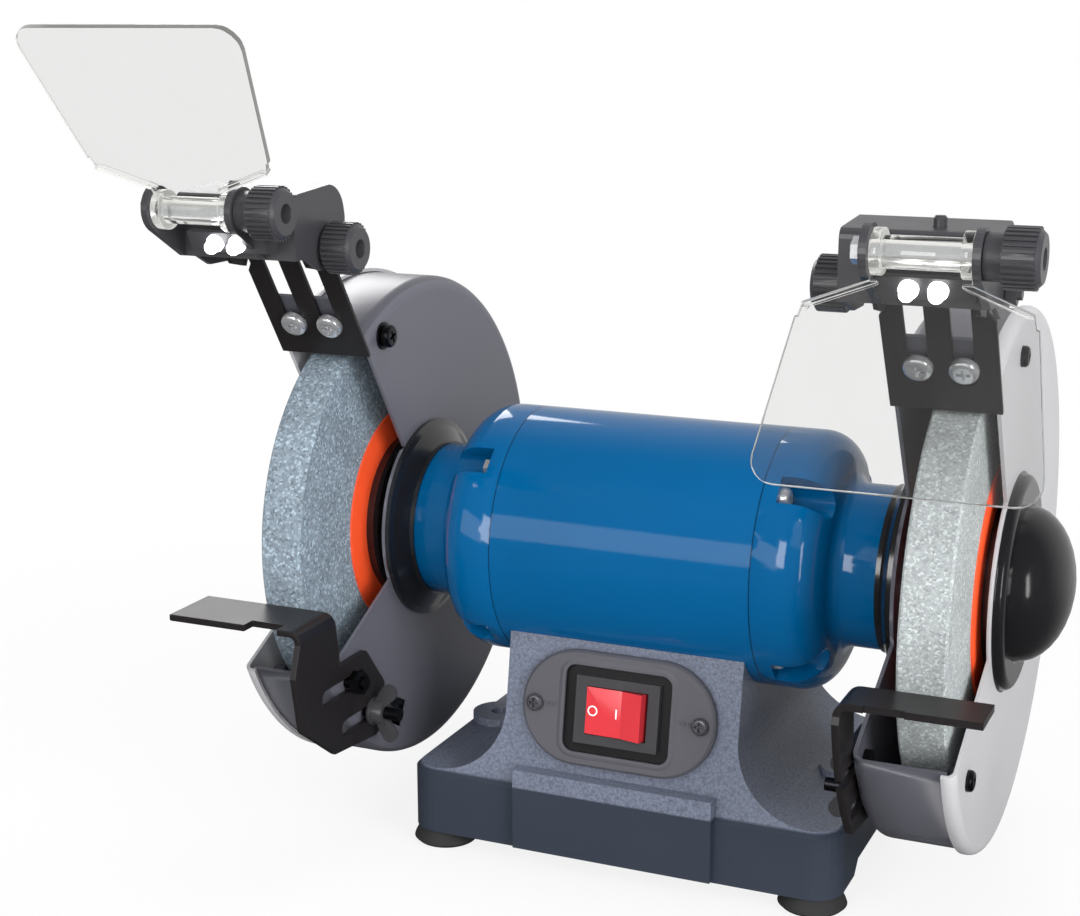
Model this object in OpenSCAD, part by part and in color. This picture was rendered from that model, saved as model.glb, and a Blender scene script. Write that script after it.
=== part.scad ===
/* [Base] */
// Width of the base casting, left to right
base_w = 209; // [200:1:220]
// Depth of the base casting, front to back
base_d = 148; // [140:1:160]
// Height of the base deck above the bench
deck_h = 39.5; // [36:0.5:43]
// Radius of the base corners in plan
base_corner_r = 14; // [10:1:18]
// Wall thickness of the casting
cast_wall = 5; // [4:0.5:6]
// Width of the pedestal under the motor
pedestal_w = 112; // [104:1:116]
// Radius of the hollow sweep from pedestal to deck
sweep_r = 34; // [28:1:36]
// Width of the raised block in the front skirt
block_w = 96; // [80:1:104]
// How far the block stands out of the front skirt
block_out = 3.5; // [2:0.5:5]
// Distance between the two bench bolt holes
bench_hole_gap = 180; // [172:1:184]
// Diameter of the bench bolt holes
bench_hole_d = 9; // [8:0.5:10]
// Height of the rubber feet
foot_h = 8; // [6:0.5:10]
// Diameter of the rubber feet
foot_d = 31; // [24:1:34]

/* [Motor] */
// Height of the underside of the motor barrel above the deck
motor_gap = 47.5; // [46:0.5:52]
// Distance of the spindle in front of the base centre
spindle_fwd = 15; // [10:1:18]
// Diameter of the motor barrel
barrel_d = 117; // [114:1:119]
// Length of the motor barrel
barrel_l = 122; // [118:1:130]
// Wall of the motor barrel
barrel_wall = 2.5; // [2:0.5:3]
// Length of one end bell outside the barrel
bell_l = 49; // [47:1:54]
// Length of the straight rim of an end bell
bell_rim = 13; // [11:1:15]
// Radius of the rounded shoulder of an end bell
bell_round = 16; // [13:1:18]
// Diameter of the neck of an end bell
neck_d = 73; // [70:1:78]
// Length of the stator core
stator_l = 66; // [60:1:70]
// Air gap between stator and rotor
air_gap = 0.6; // [0.4:0.1:1]

/* [Spindle] */
// Bore of the ball bearings
bearing_bore = 17; // [17:1:18]
// Outside diameter of the ball bearings
bearing_od = 40; // [38:1:42]
// Width of the ball bearings
bearing_w = 12; // [11:1:13]
// Diameter of the spindle ends and of the wheel bores
spindle_d = 16; // [14:0.5:16]
// Diameter of the clamping flanges
clamp_d = 80; // [70:1:84]
// Thickness of the clamping flanges
clamp_t = 5; // [4:0.5:5]
// Width of the spindle nuts across the flats
nut_af = 24; // [22:1:27]

/* [Wheels] */
// Diameter of the grinding wheels
wheel_d = 200; // [190:1:200]
// Width of the grinding wheels
wheel_w = 20; // [16:1:20]
// Diameter of the paper washers on the wheels
washer_d = 108; // [90:1:112]
// Thickness of the paper washers
washer_t = 1; // [0.6:0.1:1.2]

/* [Guards] */
// Gap between a wheel and the outside of its guard
guard_gap = 18.5; // [17:0.5:22]
// Outside width of a wheel guard
guard_w = 42.4; // [40:0.2:46]
// Sheet thickness of the guards
guard_t = 1.6; // [1.2:0.1:2]
// Radius of the pressed edge of the guards
guard_edge_r = 6; // [4:0.5:8]
// Thickness of the ring between end bell and guard
mount_ring_t = 9.4; // [8:0.2:12]
// Angle of the upper edge of the guard opening
open_top = 123.5; // [120:0.5:126]
// Angle of the lower edge of the guard opening
open_low = 205.5; // [202:0.5:208]
// Radius of the closed middle of the guard opening
open_inner_r = 48; // [44:1:52]
// Diameter of the pressed step around the spindle cap
cap_step_d = 96; // [90:1:96]
// Diameter of the spindle cap
cap_d = 68; // [64:1:72]
// How far the spindle cap stands out of the cover
cap_out = 26; // [24:1:30]

/* [Spark plates] */
// Width of a spark plate
spark_w = 45; // [40:1:48]
// Thickness of the spark plate and its ears
spark_t = 2; // [1.5:0.5:2.5]
// Gap between wheel and left spark plate
left_spark_gap = 7; // [5:0.5:8]
// Gap between wheel and right spark plate
right_spark_gap = 2.5; // [2:0.5:4]
// Width of the adjusting slots
slot_w = 8; // [7:0.5:9]
// Distance between the two adjusting slots
slot_gap = 18; // [16:0.5:20]

/* [Lamp heads] */
// Width of a lamp housing
head_w = 56; // [54:1:58]
// Wall of a lamp housing
head_wall = 2; // [1.5:0.5:2.5]
// Reach from the arm bolt forward to the visor hinge
hinge_fwd = 43; // [40:1:46]
// Height of the visor hinge above the arm bolt
hinge_up = 18; // [14:1:20]
// Diameter of the clear hinge tube
tube_d = 12; // [11:1:14]
// Diameter of the clamping knobs
knob_d = 22; // [18:1:23]
// Length of the gripped part of a knob
knob_grip = 13.4; // [11:0.2:15]
// Diameter of the arm and hinge bolts
bolt_d = 5; // [4:0.5:6]

/* [Visors] */
// Width of a visor at its shoulders
visor_shoulder_w = 85; // [76:1:90]
// Width of a visor at its far edge
visor_far_w = 101; // [92:1:110]
// Length of a visor from its hinge to the far edge
visor_l = 86; // [78:1:90]
// Thickness of the visor sheet
visor_t = 2.5; // [2:0.5:3]
// Angle of the raised left visor
visor_raised = 123; // [115:1:130]
// Angle of the lowered right visor
visor_lowered = 246; // [240:1:250]

/* [Tool rests] */
// Thickness of the tool rest sheet
rest_t = 3; // [2.5:0.5:4]
// Gap between wheel and tool rest
rest_gap = 3; // [2.5:0.5:4]
// Height of the tool rests below the spindle
rest_drop = 20; // [16:1:24]
// Length of the left table outward from its leg
left_table_l = 67; // [60:1:72]
// Depth of the left table
left_table_d = 31; // [26:1:34]
// Length of the right table outward from its leg
right_table_l = 58; // [52:1:64]
// Depth of the right table
right_table_d = 22; // [20:1:28]

/* [Switch] */
// Width of the switch plate
plate_w = 93; // [88:1:98]
// Height of the switch plate
plate_h = 53; // [48:1:56]
// Width of the switch frame
frame_w = 40; // [36:1:42]
// Height of the switch frame
frame_h = 31; // [29:1:34]
// Width of the rocker
rocker_w = 28.5; // [25:0.5:30]
// Height of the rocker
rocker_h = 21.5; // [18:0.5:23]
// Tilt of the rocker to either side
rocker_tilt = 8; // [5:1:10]

/* [Hidden] */
$fn = 64;
e = 0.01;
clear = 0.3;
slide_clear = 0.2;
run_clear = 0.05;

// Motor and spindle stations, measured outward from the middle
axis_y = -spindle_fwd;
barrel_r = barrel_d / 2;
axis_z = deck_h + motor_gap + barrel_r;
neck_r = neck_d / 2;
bell_in = barrel_l / 2;
bell_out = bell_in + bell_l;
bell_wall = 4;
bell_fillet = barrel_r - neck_r - bell_round;
bell_arc_x = bell_in + bell_rim;
spigot_l = 5;
bearing_out = bell_out - 6;
bearing_in = bearing_out - bearing_w;
guard_in = bell_out + mount_ring_t;
guard_out = guard_in + guard_w;
guard_mid = (guard_in + guard_out) / 2;
wheel_in = guard_in + 15.1;
wheel_out = wheel_in + wheel_w;
wheel_r = wheel_d / 2;
guard_r = wheel_r + guard_gap;
clamp_face = wheel_in - washer_t;
nut_in = wheel_out + washer_t + clamp_t;
nut_t = 12;
spindle_end = nut_in + nut_t + 4;
stator_r = barrel_r - barrel_wall;
stator_yoke = 23;
stator_bore_r = stator_r - stator_yoke;
rotor_r = stator_bore_r - air_gap;
tie_r = barrel_r - 7.5;
tie_angles = [45, 135, 225, 315];
tie_d = 5;
tie_head_r = 5;
cradle_x = stator_l / 2 + 5;
tie_seat = bell_in + 7;

// Base
skirt_front = -base_d / 2;
ledge = 2.5;
block_bottom = foot_h + 1;
block_top = deck_h + 8;
pedestal_front = skirt_front + ledge;
pedestal_back = base_d / 2 - ledge;
seat_y = 0.775 * barrel_r;
seat_z = axis_z - sqrt(barrel_r * barrel_r - seat_y * seat_y);
front_lean = atan((axis_y - seat_y - pedestal_front) / (seat_z - deck_h));
boss_top = deck_h + 4;
plate_t = 1.5;
foot_inset = 14;
foot_x = base_w / 2 - foot_inset;
foot_y = base_d / 2 - foot_inset;
skirt_cut = 6;
foot_screw_d = 4;

// Guards
band_r = guard_r - guard_t - clear;
cover_edge_r = 4;
cover_skirt = 2;
cover_screw_r = guard_r - 17;
lug_depth = guard_out - guard_t - wheel_out - 1;
cover_screw_angles = [98, 217, 337];
mount_screw_r = 28.7;
mount_screw_angles = [0, 90, 180, 270];
ring_r = open_inner_r;
dust_slot_w = 34;
dust_slot_h = 13;
dust_r = guard_r - 22.5;
dust_angle = 241;

// Spark plates, along the upper edge of the opening
spark_l = 78;
spark_full_l = 48;
spark_neck_w = spark_w - 5;
slot_start = 14;
slot_end = 58;
flange_low_r = wheel_r + 6;
flange_high_r = guard_r + 20.5;
flange_w = guard_w - 2 * guard_t - 1;
screw_r_pos = guard_r + 7.5;
arm_along = 69;
arm_off = 8;

// Lamp heads, measured from the arm bolt
head_half = head_w / 2;
head_front = -27;
head_top = 24;
box_back = -14;
box_low = -3;
lamp_up = 3;
roof_r = 13;
lug_t = 3;
lug_r = 10;
inner_lug = 13.6;
lug_a = -head_half;
lug_b = head_half - inner_lug - lug_t;
tube_l = lug_b - lug_a - 2 * lug_t - 2 * clear;
cell_d = 10.5;
cell_l = 44.5;
button_x = 6;
button_y = -16;
knob_neck_l = 6;
knob_neck_r = 8.5;
hinge_head_t = 4;

// Tool rests
rest_leg_out = guard_in - 0.4;
rest_leg_in = rest_leg_out - rest_t;
rest_back = -sqrt(pow(wheel_r + rest_gap, 2) - pow(rest_drop, 2));
rest_bolt_d = 6;
rest_slot_w = 7;
rest_bolt_r = guard_r - 14.5;
rest_bolts_at = [for (a = [213.2, 227.4]) rest_bolt_r * [cos(a), sin(a)]];

// Switch, on the leaning front face
switch_up = 39;
switch_z = deck_h + switch_up;
switch_y = pedestal_front + (switch_z - deck_h) * tan(front_lean);
cover_t = 2;
plate_top = 4.4;
frame_t = 3;
body_depth = 20;
well_w = 51;
well_h = 40;
valley_x = 3;

// ---------- helpers ----------

function arc(c, r, a0, a1, n = 8) =
    [for (i = [0 : n]) c + r * [cos(a0 + (a1 - a0) * i / n), sin(a0 + (a1 - a0) * i / n)]];

// Local z runs along +X from station x on the spindle axis
module on_axis(x = 0) {
    translate([x, axis_y, axis_z]) rotate([0, 90, 0]) children();
}

// A flat shape drawn in (y, z) about the spindle, thickened along +X from station x
module slab_x(x, t) {
    translate([x, axis_y, axis_z]) rotate([90, 0, 90]) linear_extrude(t) children();
}

// Everything on the right is drawn at +X; the left is its mirror image
module on_side(s) {
    if (s > 0) children();
    else mirror([1, 0, 0]) children();
}

module both_sides() {
    for (s = [-1, 1]) on_side(s) children();
}

// Radial direction at angle a in the (y, z) plane becomes local y, and the turn direction local z
module at_angle(a, x = 0) {
    translate([x, axis_y, axis_z]) rotate([a, 0, 0]) children();
}

module tube(r_out, r_in, h) {
    difference() {
        cylinder(r = r_out, h = h);
        translate([0, 0, -1]) cylinder(r = r_in, h = h + 2);
    }
}

// Pan head with a turned-down flange and its shank below z = 0
module screw(d, head_d, head_t, shank_l) {
    rotate_extrude() polygon(concat(
        [[0, -shank_l], [d / 2, -shank_l], [d / 2, 0], [head_d / 2, 0], [head_d / 2, head_t * 0.4]],
        arc([head_d / 2 - head_t * 0.6, head_t * 0.4], head_t * 0.6, 0, 90, 5),
        [[0, head_t]]));
}

module cross_recess(w, depth) {
    for (a = [0, 90]) rotate([0, 0, a]) translate([-w / 2, -w / 8, -depth]) cube([w, w / 4, depth + 1]);
}

// ---------- base ----------

module base_outline(inset) {
    hull() for (sx = [-1, 1], sy = [-1, 1])
        translate([sx * (base_w / 2 - base_corner_r), sy * (base_d / 2 - base_corner_r)])
            circle(r = base_corner_r - inset, $fn = 32);
}

// Front view of pedestal and sweep, cut square along the depth
module pedestal_front_view(inset, low) {
    half = pedestal_w / 2 - inset;
    r = sweep_r + inset;
    top_z = deck_h - inset;
    side = concat([[half, axis_z]], arc([half + r, top_z + r], r, 180, 270, 12), [[half + r, low]]);
    polygon(concat(side, [for (i = [len(side) - 1 : -1 : 0]) [-side[i][0], side[i][1]]]));
}

// Side view: both faces lean inwards to the motor seat
module pedestal_side_view(inset, low) {
    front = pedestal_front + inset;
    back = pedestal_back - inset;
    polygon([[front, low], [front, deck_h], [axis_y - seat_y + inset, seat_z],
             [axis_y - seat_y + inset, axis_z], [axis_y + seat_y - inset, axis_z],
             [axis_y + seat_y - inset, seat_z], [back, deck_h], [back, low]]);
}

module pedestal(inset, low) {
    intersection() {
        rotate([90, 0, 0]) translate([0, 0, -base_d]) linear_extrude(2 * base_d) pedestal_front_view(inset, low);
        rotate([90, 0, 90]) translate([0, 0, -base_w]) linear_extrude(2 * base_w) pedestal_side_view(inset, low);
    }
}

// Local z points out of the leaning front face at the middle of the switch
module on_front(x = 0, up = 0) {
    translate([0, switch_y, switch_z]) rotate([90 - front_lean, 0, 0]) translate([x, up, 0]) children();
}

module base_casting() color("dimgray") {
    difference() {
        union() {
            difference() {
                union() {
                    hull() {
                        translate([0, 0, foot_h]) linear_extrude(deck_h - foot_h - 2.5) base_outline(0);
                        translate([0, 0, foot_h]) linear_extrude(deck_h - foot_h) base_outline(2.5);
                    }
                    pedestal(0, deck_h - 3);
                    translate([-block_w / 2, skirt_front - block_out, block_bottom])
                        cube([block_w, block_out + cast_wall + 1, block_top - block_bottom]);
                }
                difference() {
                    union() {
                        translate([0, 0, foot_h - 1])
                            linear_extrude(deck_h - foot_h + 1 - cast_wall) base_outline(cast_wall);
                        pedestal(cast_wall, foot_h + 1);
                    }
                    on_axis(-base_w) cylinder(r = barrel_r + cast_wall, h = 2 * base_w);
                }
            }
            for (s = [-1, 1]) {
                translate([s * bench_hole_gap / 2, 0, deck_h - 1]) cylinder(r = 13.5, h = boss_top - deck_h + 1);
                translate([s * bench_hole_gap / 2, 0, foot_h + plate_t]) cylinder(r = 12, h = deck_h - foot_h - plate_t - 1);
                for (t = [-1, 1]) translate([s * foot_x, t * foot_y, foot_h + plate_t])
                    cylinder(r = 7, h = deck_h - foot_h - plate_t - 1);
            }
        }
        on_axis(-base_w) cylinder(r = barrel_r, h = 2 * base_w, $fn = 128);
        for (s = [-1, 1]) translate([s * bench_hole_gap / 2, 0, 0]) cylinder(d = bench_hole_d, h = boss_top + 1);
        for (s = [-1, 1], t = [-1, 1]) translate([s * foot_x, t * foot_y, 0])
            cylinder(d = foot_screw_d, h = foot_h + plate_t + 12);
        on_front() translate([-(rocker_w + 6) / 2, -(rocker_h + 5) / 2, -cast_wall * 2])
            cube([rocker_w + 6, rocker_h + 5, cast_wall * 3]);
        for (s = [-1, 1]) on_front(s * plate_screw_x) translate([0, 0, -7]) cylinder(d = 3.2, h = 8);
        for (s = [-1, 1]) translate([s * cradle_x, axis_y, 0]) cylinder(d = 6.4, h = axis_z);
        translate([gland_x, base_d / 2 - cast_wall - 1, gland_z]) rotate([-90, 0, 0]) cylinder(d = gland_d, h = cast_wall + 2);
        // The side skirts are cut up between the feet
        for (s = [-1, 1]) side_view_x(s > 0 ? base_w / 2 - cast_wall - 1 : -base_w / 2 - 1, cast_wall + 2)
            polygon([[-cut_half, foot_h - 1], [cut_half, foot_h - 1], [cut_half, foot_h],
                     [cut_half - skirt_cut, foot_h + skirt_cut], [skirt_cut - cut_half, foot_h + skirt_cut], [-cut_half, foot_h]]);
    }
}

cut_half = foot_y - foot_d / 2 - 3;

plate_screw_x = 39.7;
gland_x = 44.5 - base_w / 2;
gland_z = 18.5;
gland_d = 12.5;

module bottom_plate() color("silver") difference() {
    translate([0, 0, foot_h]) linear_extrude(plate_t) base_outline(cast_wall + clear);
    for (s = [-1, 1]) translate([s * bench_hole_gap / 2, 0, 0]) cylinder(d = bench_hole_d + 2, h = 20);
    for (s = [-1, 1], t = [-1, 1]) translate([s * foot_x, t * foot_y, 0]) cylinder(d = foot_screw_d + 0.4, h = 20);
    translate([-block_w / 2 - clear, skirt_front - block_out, 0])
        cube([block_w + 2 * clear, block_out + cast_wall + 1 + clear, 20]);
}

module rubber_feet() color("black")
    for (s = [-1, 1], t = [-1, 1]) translate([s * foot_x, t * foot_y, 0]) difference() {
        rotate_extrude() polygon([[0, 0], [foot_d / 2 - 1.5, 0], [foot_d / 2, 1.5], [foot_d / 2 - 0.5, 3],
                                  [foot_d / 2 - 3, foot_h], [0, foot_h]]);
        translate([0, 0, -1]) cylinder(d = 10, h = 4);
        cylinder(d = foot_screw_d + 0.4, h = foot_h + 1);
    }

module foot_screws() color("silver")
    for (s = [-1, 1], t = [-1, 1]) translate([s * foot_x, t * foot_y, 3]) mirror([0, 0, 1])
        difference() {
            screw(foot_screw_d - 0.1, 9, 2, foot_h + plate_t + 6);
            translate([0, 0, 2]) cross_recess(4, 1);
        }

module cable_gland() color("black")
    translate([gland_x, base_d / 2 - cast_wall - 4, gland_z]) rotate([-90, 0, 0]) difference() {
        rotate_extrude() polygon([[0, 0], [9, 0], [9, 4 - e], [gland_d / 2 - 0.1, 4 - e], [gland_d / 2 - 0.1, cast_wall + 4],
                                  [9.5, cast_wall + 4], [9.5, cast_wall + 9], [7, cast_wall + 15], [0, cast_wall + 15]]);
        translate([0, 0, -1]) cylinder(r = 3.6, h = cast_wall + 18);
    }

can_d = 34;
can_h = 46;

module capacitor() color("gainsboro")
    translate([-32, 28, foot_h + plate_t]) difference() {
        union() {
            cylinder(d = can_d, h = can_h);
            translate([0, 0, can_h - e]) cylinder(d = can_d - 4, h = 3);
            for (s = [-1, 1]) translate([s * 6 - 2, -0.4, can_h + 2]) cube([4, 0.8, 9]);
        }
        translate([0, 0, -e]) cylinder(d = 8, h = 1);
    }

// ---------- motor ----------

module motor_barrel() color("steelblue")
    on_axis(-bell_in) difference() {
        tube(barrel_r, barrel_r - barrel_wall, barrel_l, $fn = 128);
        for (s = [-1, 1]) translate([0, 0, bell_in + s * cradle_x]) rotate([0, 90, 0]) cylinder(d = 5.2, h = barrel_d);
    }

module bell_profile() {
    cx = bell_rim + bell_round;
    outer = concat(
        [[stator_r - clear, -spigot_l], [stator_r - clear, 0], [barrel_r, 0]],
        arc([barrel_r - bell_round, bell_rim], bell_round, 0, 90, 10),
        arc([neck_r + bell_fillet, cx + bell_fillet], bell_fillet, 270, 180, 8),
        [[neck_r, bell_l], [spindle_d / 2 + 2, bell_l], [spindle_d / 2 + 2, bell_l - 6],
         [bearing_od / 2, bell_l - 6], [bearing_od / 2, bell_l - 6 - bearing_w - 1],
         [bearing_od / 2 + 5, bell_l - 6 - bearing_w - 1], [bearing_od / 2 + 5, bell_l - 12],
         [neck_r - bell_wall, bell_l - 12], [neck_r - bell_wall, cx + bell_fillet - bell_wall]],
        [[barrel_r - bell_round, cx - bell_wall], [barrel_r - bell_wall - 4, bell_rim + 7],
         [stator_r - clear - 3.5, bell_rim], [stator_r - clear - 3.5, -spigot_l]]);
    polygon(outer);
}

module end_bell() {
    difference() {
        union() {
            on_axis(bell_in) rotate_extrude($fn = 128) bell_profile();
            // Walls of the four screw pockets, kept inside the outer shape
            intersection() {
                on_axis(bell_in) rotate_extrude($fn = 128) polygon(concat([[0, 0], [barrel_r, 0]],
                    arc([barrel_r - bell_round, bell_rim], bell_round, 0, 90, 10), [[0, bell_rim + bell_round]]));
                for (a = tie_angles) at_angle(a) translate([bell_in, tie_r, 0]) rotate([0, 90, 0])
                    cylinder(r = tie_head_r + 4, h = bell_rim + bell_round);
            }
        }
        for (a = tie_angles) at_angle(a) {
            translate([bell_in - spigot_l - 1, tie_r, 0]) rotate([0, 90, 0]) cylinder(d = tie_d + 0.4, h = bell_l);
            translate([tie_seat, tie_r, 0]) rotate([0, 90, 0]) cylinder(r = tie_head_r + 1.6, h = bell_l);
            translate([tie_seat, tie_r, -tie_head_r - 1.6]) cube([bell_l, 20, 2 * tie_head_r + 3.2]);
        }
        for (a = mount_screw_angles) at_angle(a) translate([bell_out - 10.5, mount_screw_r, 0]) rotate([0, 90, 0])
            cylinder(d = 5, h = 20);
    }
}

module left_end_bell() color("steelblue") on_side(-1) end_bell();
module right_end_bell() color("steelblue") on_side(1) end_bell();

module tie_bolts() color("silver") {
    for (a = tie_angles) at_angle(a) translate([0, tie_r, 0]) {
        difference() {
            union() {
                translate([tie_seat, 0, 0]) rotate([0, 90, 0]) screw(tie_d, 2 * tie_head_r, 4, 2 * tie_seat + 3.5);
                translate([-tie_seat - 4, 0, 0]) rotate([0, 90, 0]) cylinder(d = 9.2, h = 4, $fn = 6);
            }
            translate([tie_seat + 4, 0, 0]) rotate([0, 90, 0]) cross_recess(5, 2);
        }
    }
}

module stator_core() color("lightslategray") on_axis(-stator_l / 2) difference() {
    tube(stator_r - 0.02, stator_bore_r, stator_l);
    for (a = tie_angles) rotate([0, 0, a]) translate([tie_r, 0, -1]) {
        cylinder(r = 4, h = stator_l + 2);
        translate([0, -4, 0]) cube([10, 8, stator_l + 2]);
    }
    for (i = [0 : 23]) rotate([0, 0, i * 15 + 7.5]) {
        translate([stator_bore_r + 5, -1.6, -1]) cube([8, 3.2, stator_l + 2]);
        translate([stator_bore_r - 1, -0.8, -1]) cube([7, 1.6, stator_l + 2]);
    }
}

winding_l = 12;

module stator_windings() color("peru") for (s = [-1, 1])
    on_axis(s * (stator_l / 2 + winding_l / 2)) rotate_extrude() translate([stator_bore_r + 8.5, 0])
        polygon([[-6, -winding_l / 2], [6, -winding_l / 2], [6, winding_l / 2 - 3], [3, winding_l / 2],
                 [-3, winding_l / 2], [-6, winding_l / 2 - 3], [-6, 3 - winding_l / 2]]);

module bearing_outer_rings() color("silver") both_sides()
    on_axis(bearing_in) difference() {
        tube(bearing_od / 2, bearing_od / 2 - 3, bearing_w);
        translate([0, 0, bearing_w / 2]) rotate_extrude() translate([ball_circle_r, 0]) circle(r = ball_r + run_clear, $fn = 32);
    }

ball_circle_r = (bearing_od + bearing_bore) / 4;
ball_r = 3.4;

module bearing_inner_rings() color("silver") both_sides()
    on_axis(bearing_in) difference() {
        tube(bearing_bore / 2 + 3, bearing_bore / 2, bearing_w);
        translate([0, 0, bearing_w / 2]) rotate_extrude() translate([ball_circle_r, 0]) circle(r = ball_r + 0.02, $fn = 32);
    }

module bearing_balls() color("gainsboro") both_sides()
    on_axis(bearing_in + bearing_w / 2)
        for (i = [0 : 8]) rotate([0, 0, i * 40]) translate([ball_circle_r, 0, 0]) sphere(r = ball_r, $fn = 24);

module cradle_screws() color("silver") for (s = [-1, 1])
    translate([s * cradle_x, axis_y, seat_low - cast_wall]) mirror([0, 0, 1]) screw(5, 10, 4, cast_wall + 5);

seat_low = axis_z - barrel_r;

// ---------- spindle ----------

module shaft() color("lightgray") on_axis(0) both_ends_z() rotate_extrude()
    polygon([[0, 0], [11, 0], [11, bearing_in], [bearing_bore / 2, bearing_in],
             [bearing_bore / 2, bearing_out], [spindle_d / 2, bearing_out],
             [spindle_d / 2, spindle_end - 1.5], [spindle_d / 2 - 1.5, spindle_end], [0, spindle_end]]);

module both_ends_z() {
    children();
    mirror([0, 0, 1]) children();
}

module rotor_core() color("gray") on_axis(-stator_l / 2) difference() {
    union() {
        tube(rotor_r, 11, stator_l);
        for (z = [-5, stator_l]) translate([0, 0, z]) tube(rotor_r - 2, 20, 5);
    }
}

hub_l = clamp_face - bell_out - 1;

module inner_flanges() color("dimgray") both_sides() on_axis(clamp_face) mirror([0, 0, 1]) rotate_extrude()
    polygon([[spindle_d / 2, 1.5], [16, 1.5], [clamp_d / 2 - 8, 1.2], [clamp_d / 2 - 8, 0], [clamp_d / 2, 0],
             [clamp_d / 2, clamp_t - 1.5], [clamp_d / 2 - 1.5, clamp_t], [16, clamp_t],
             [14, hub_l], [spindle_d / 2 + 1.4, hub_l], [spindle_d / 2 + 1.4, clamp_face - bearing_out],
             [spindle_d / 2, clamp_face - bearing_out]]);

module outer_flanges() color("dimgray") both_sides() on_axis(wheel_out + washer_t) rotate_extrude()
    polygon([[spindle_d / 2, 1.2], [clamp_d / 2 - 8, 1.2], [clamp_d / 2 - 8, 0], [clamp_d / 2 - 2, 0],
             [clamp_d / 2 - 2, clamp_t - 1.5], [clamp_d / 2 - 3.5, clamp_t], [spindle_d / 2, clamp_t]]);

module paper_washers() color("tomato") both_sides() for (x = [clamp_face, wheel_out])
    on_axis(x) tube(washer_d / 2, spindle_d / 2 + 0.5, washer_t);

module wheel() on_axis(wheel_in) difference() {
    rotate_extrude($fn = 128) polygon([[spindle_d / 2, 0], [wheel_r - 1, 0], [wheel_r, 1], [wheel_r, wheel_w - 1],
                                       [wheel_r - 1, wheel_w], [spindle_d / 2, wheel_w]]);
}

module left_wheel() color("lightslategray") on_side(-1) wheel();
module right_wheel() color("silver") on_side(1) wheel();

module spindle_nuts() color("silver") both_sides() on_axis(nut_in) intersection() {
    difference() {
        cylinder(d = nut_af / cos(30), h = nut_t, $fn = 6);
        translate([0, 0, -1]) cylinder(d = spindle_d, h = nut_t + 2);
    }
    rotate_extrude() polygon([[0, 0], [nut_af / 2, 0], [nut_af / 2 + 2, 1.2], [nut_af / 2 + 2, nut_t - 1.2],
                              [nut_af / 2, nut_t], [0, nut_t]]);
}

// ---------- guards ----------

module wedge(a0, a1, r) {
    polygon(concat([[0, 0]], arc([0, 0], r, a0, a1, 6)));
}

module opening_cut(x, t, low_r) {
    slab_x(x, t) difference() {
        wedge(open_top, open_low, 2 * guard_r);
        circle(r = low_r);
    }
}

module guard_body() {
    depth = guard_w - cover_edge_r;
    difference() {
        union() {
            on_axis(guard_in) rotate_extrude($fn = 128) polygon(concat(
                [[spindle_d / 2 + 10, 0]],
                arc([band_r - guard_edge_r, guard_edge_r], guard_edge_r, 270, 360, 6),
                [[band_r, depth], [band_r - guard_t, depth]],
                arc([band_r - guard_edge_r, guard_edge_r], guard_edge_r - guard_t, 360, 270, 6),
                [[spindle_d / 2 + 10, guard_t]]));
        }
        opening_cut(guard_in - 1, guard_w + 2, open_inner_r);
        for (a = mount_screw_angles) at_angle(a) translate([guard_in - 1, mount_screw_r, 0]) rotate([0, 90, 0])
            cylinder(d = 5.4, h = guard_t + 2);
        at_angle(dust_angle) translate([guard_in - 1, dust_r - dust_slot_h / 2, -dust_slot_w / 2])
            cube([guard_t + 2, dust_slot_h, dust_slot_w]);
        for (p = rest_bolts_at) translate([guard_in - 1, axis_y + p[0], axis_z + p[1]]) rotate([0, 90, 0])
            cylinder(d = rest_bolt_d + 0.4, h = guard_t + 2);
    }
    // Flange that carries the spark plate, on the upper edge of the opening
    at_angle(open_top) difference() {
        translate([guard_mid - flange_w / 2, flange_low_r, -guard_t - e])
            cube([flange_w, flange_high_r - flange_low_r, guard_t]);
        for (s = [-1, 1]) translate([guard_mid + s * slot_gap / 2, screw_r_pos, -5]) cylinder(d = 5, h = 10);
    }
    // Lugs that the cover is screwed to
    for (a = cover_screw_angles) at_angle(a) translate([guard_out - guard_t - lug_depth, cover_screw_r, 0])
        rotate([0, 90, 0]) difference() {
            union() {
                cylinder(r = 4.5, h = lug_depth);
                translate([-4.5, 0, 0]) cube([9, band_r - guard_t / 2 - cover_screw_r, lug_depth + guard_t - cover_edge_r]);
            }
            translate([0, 0, -1]) cylinder(d = 4, h = lug_depth + 2);
        }
}

module left_guard_body() color("slategray") on_side(-1) guard_body();
module right_guard_body() color("slategray") on_side(1) guard_body();

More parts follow.
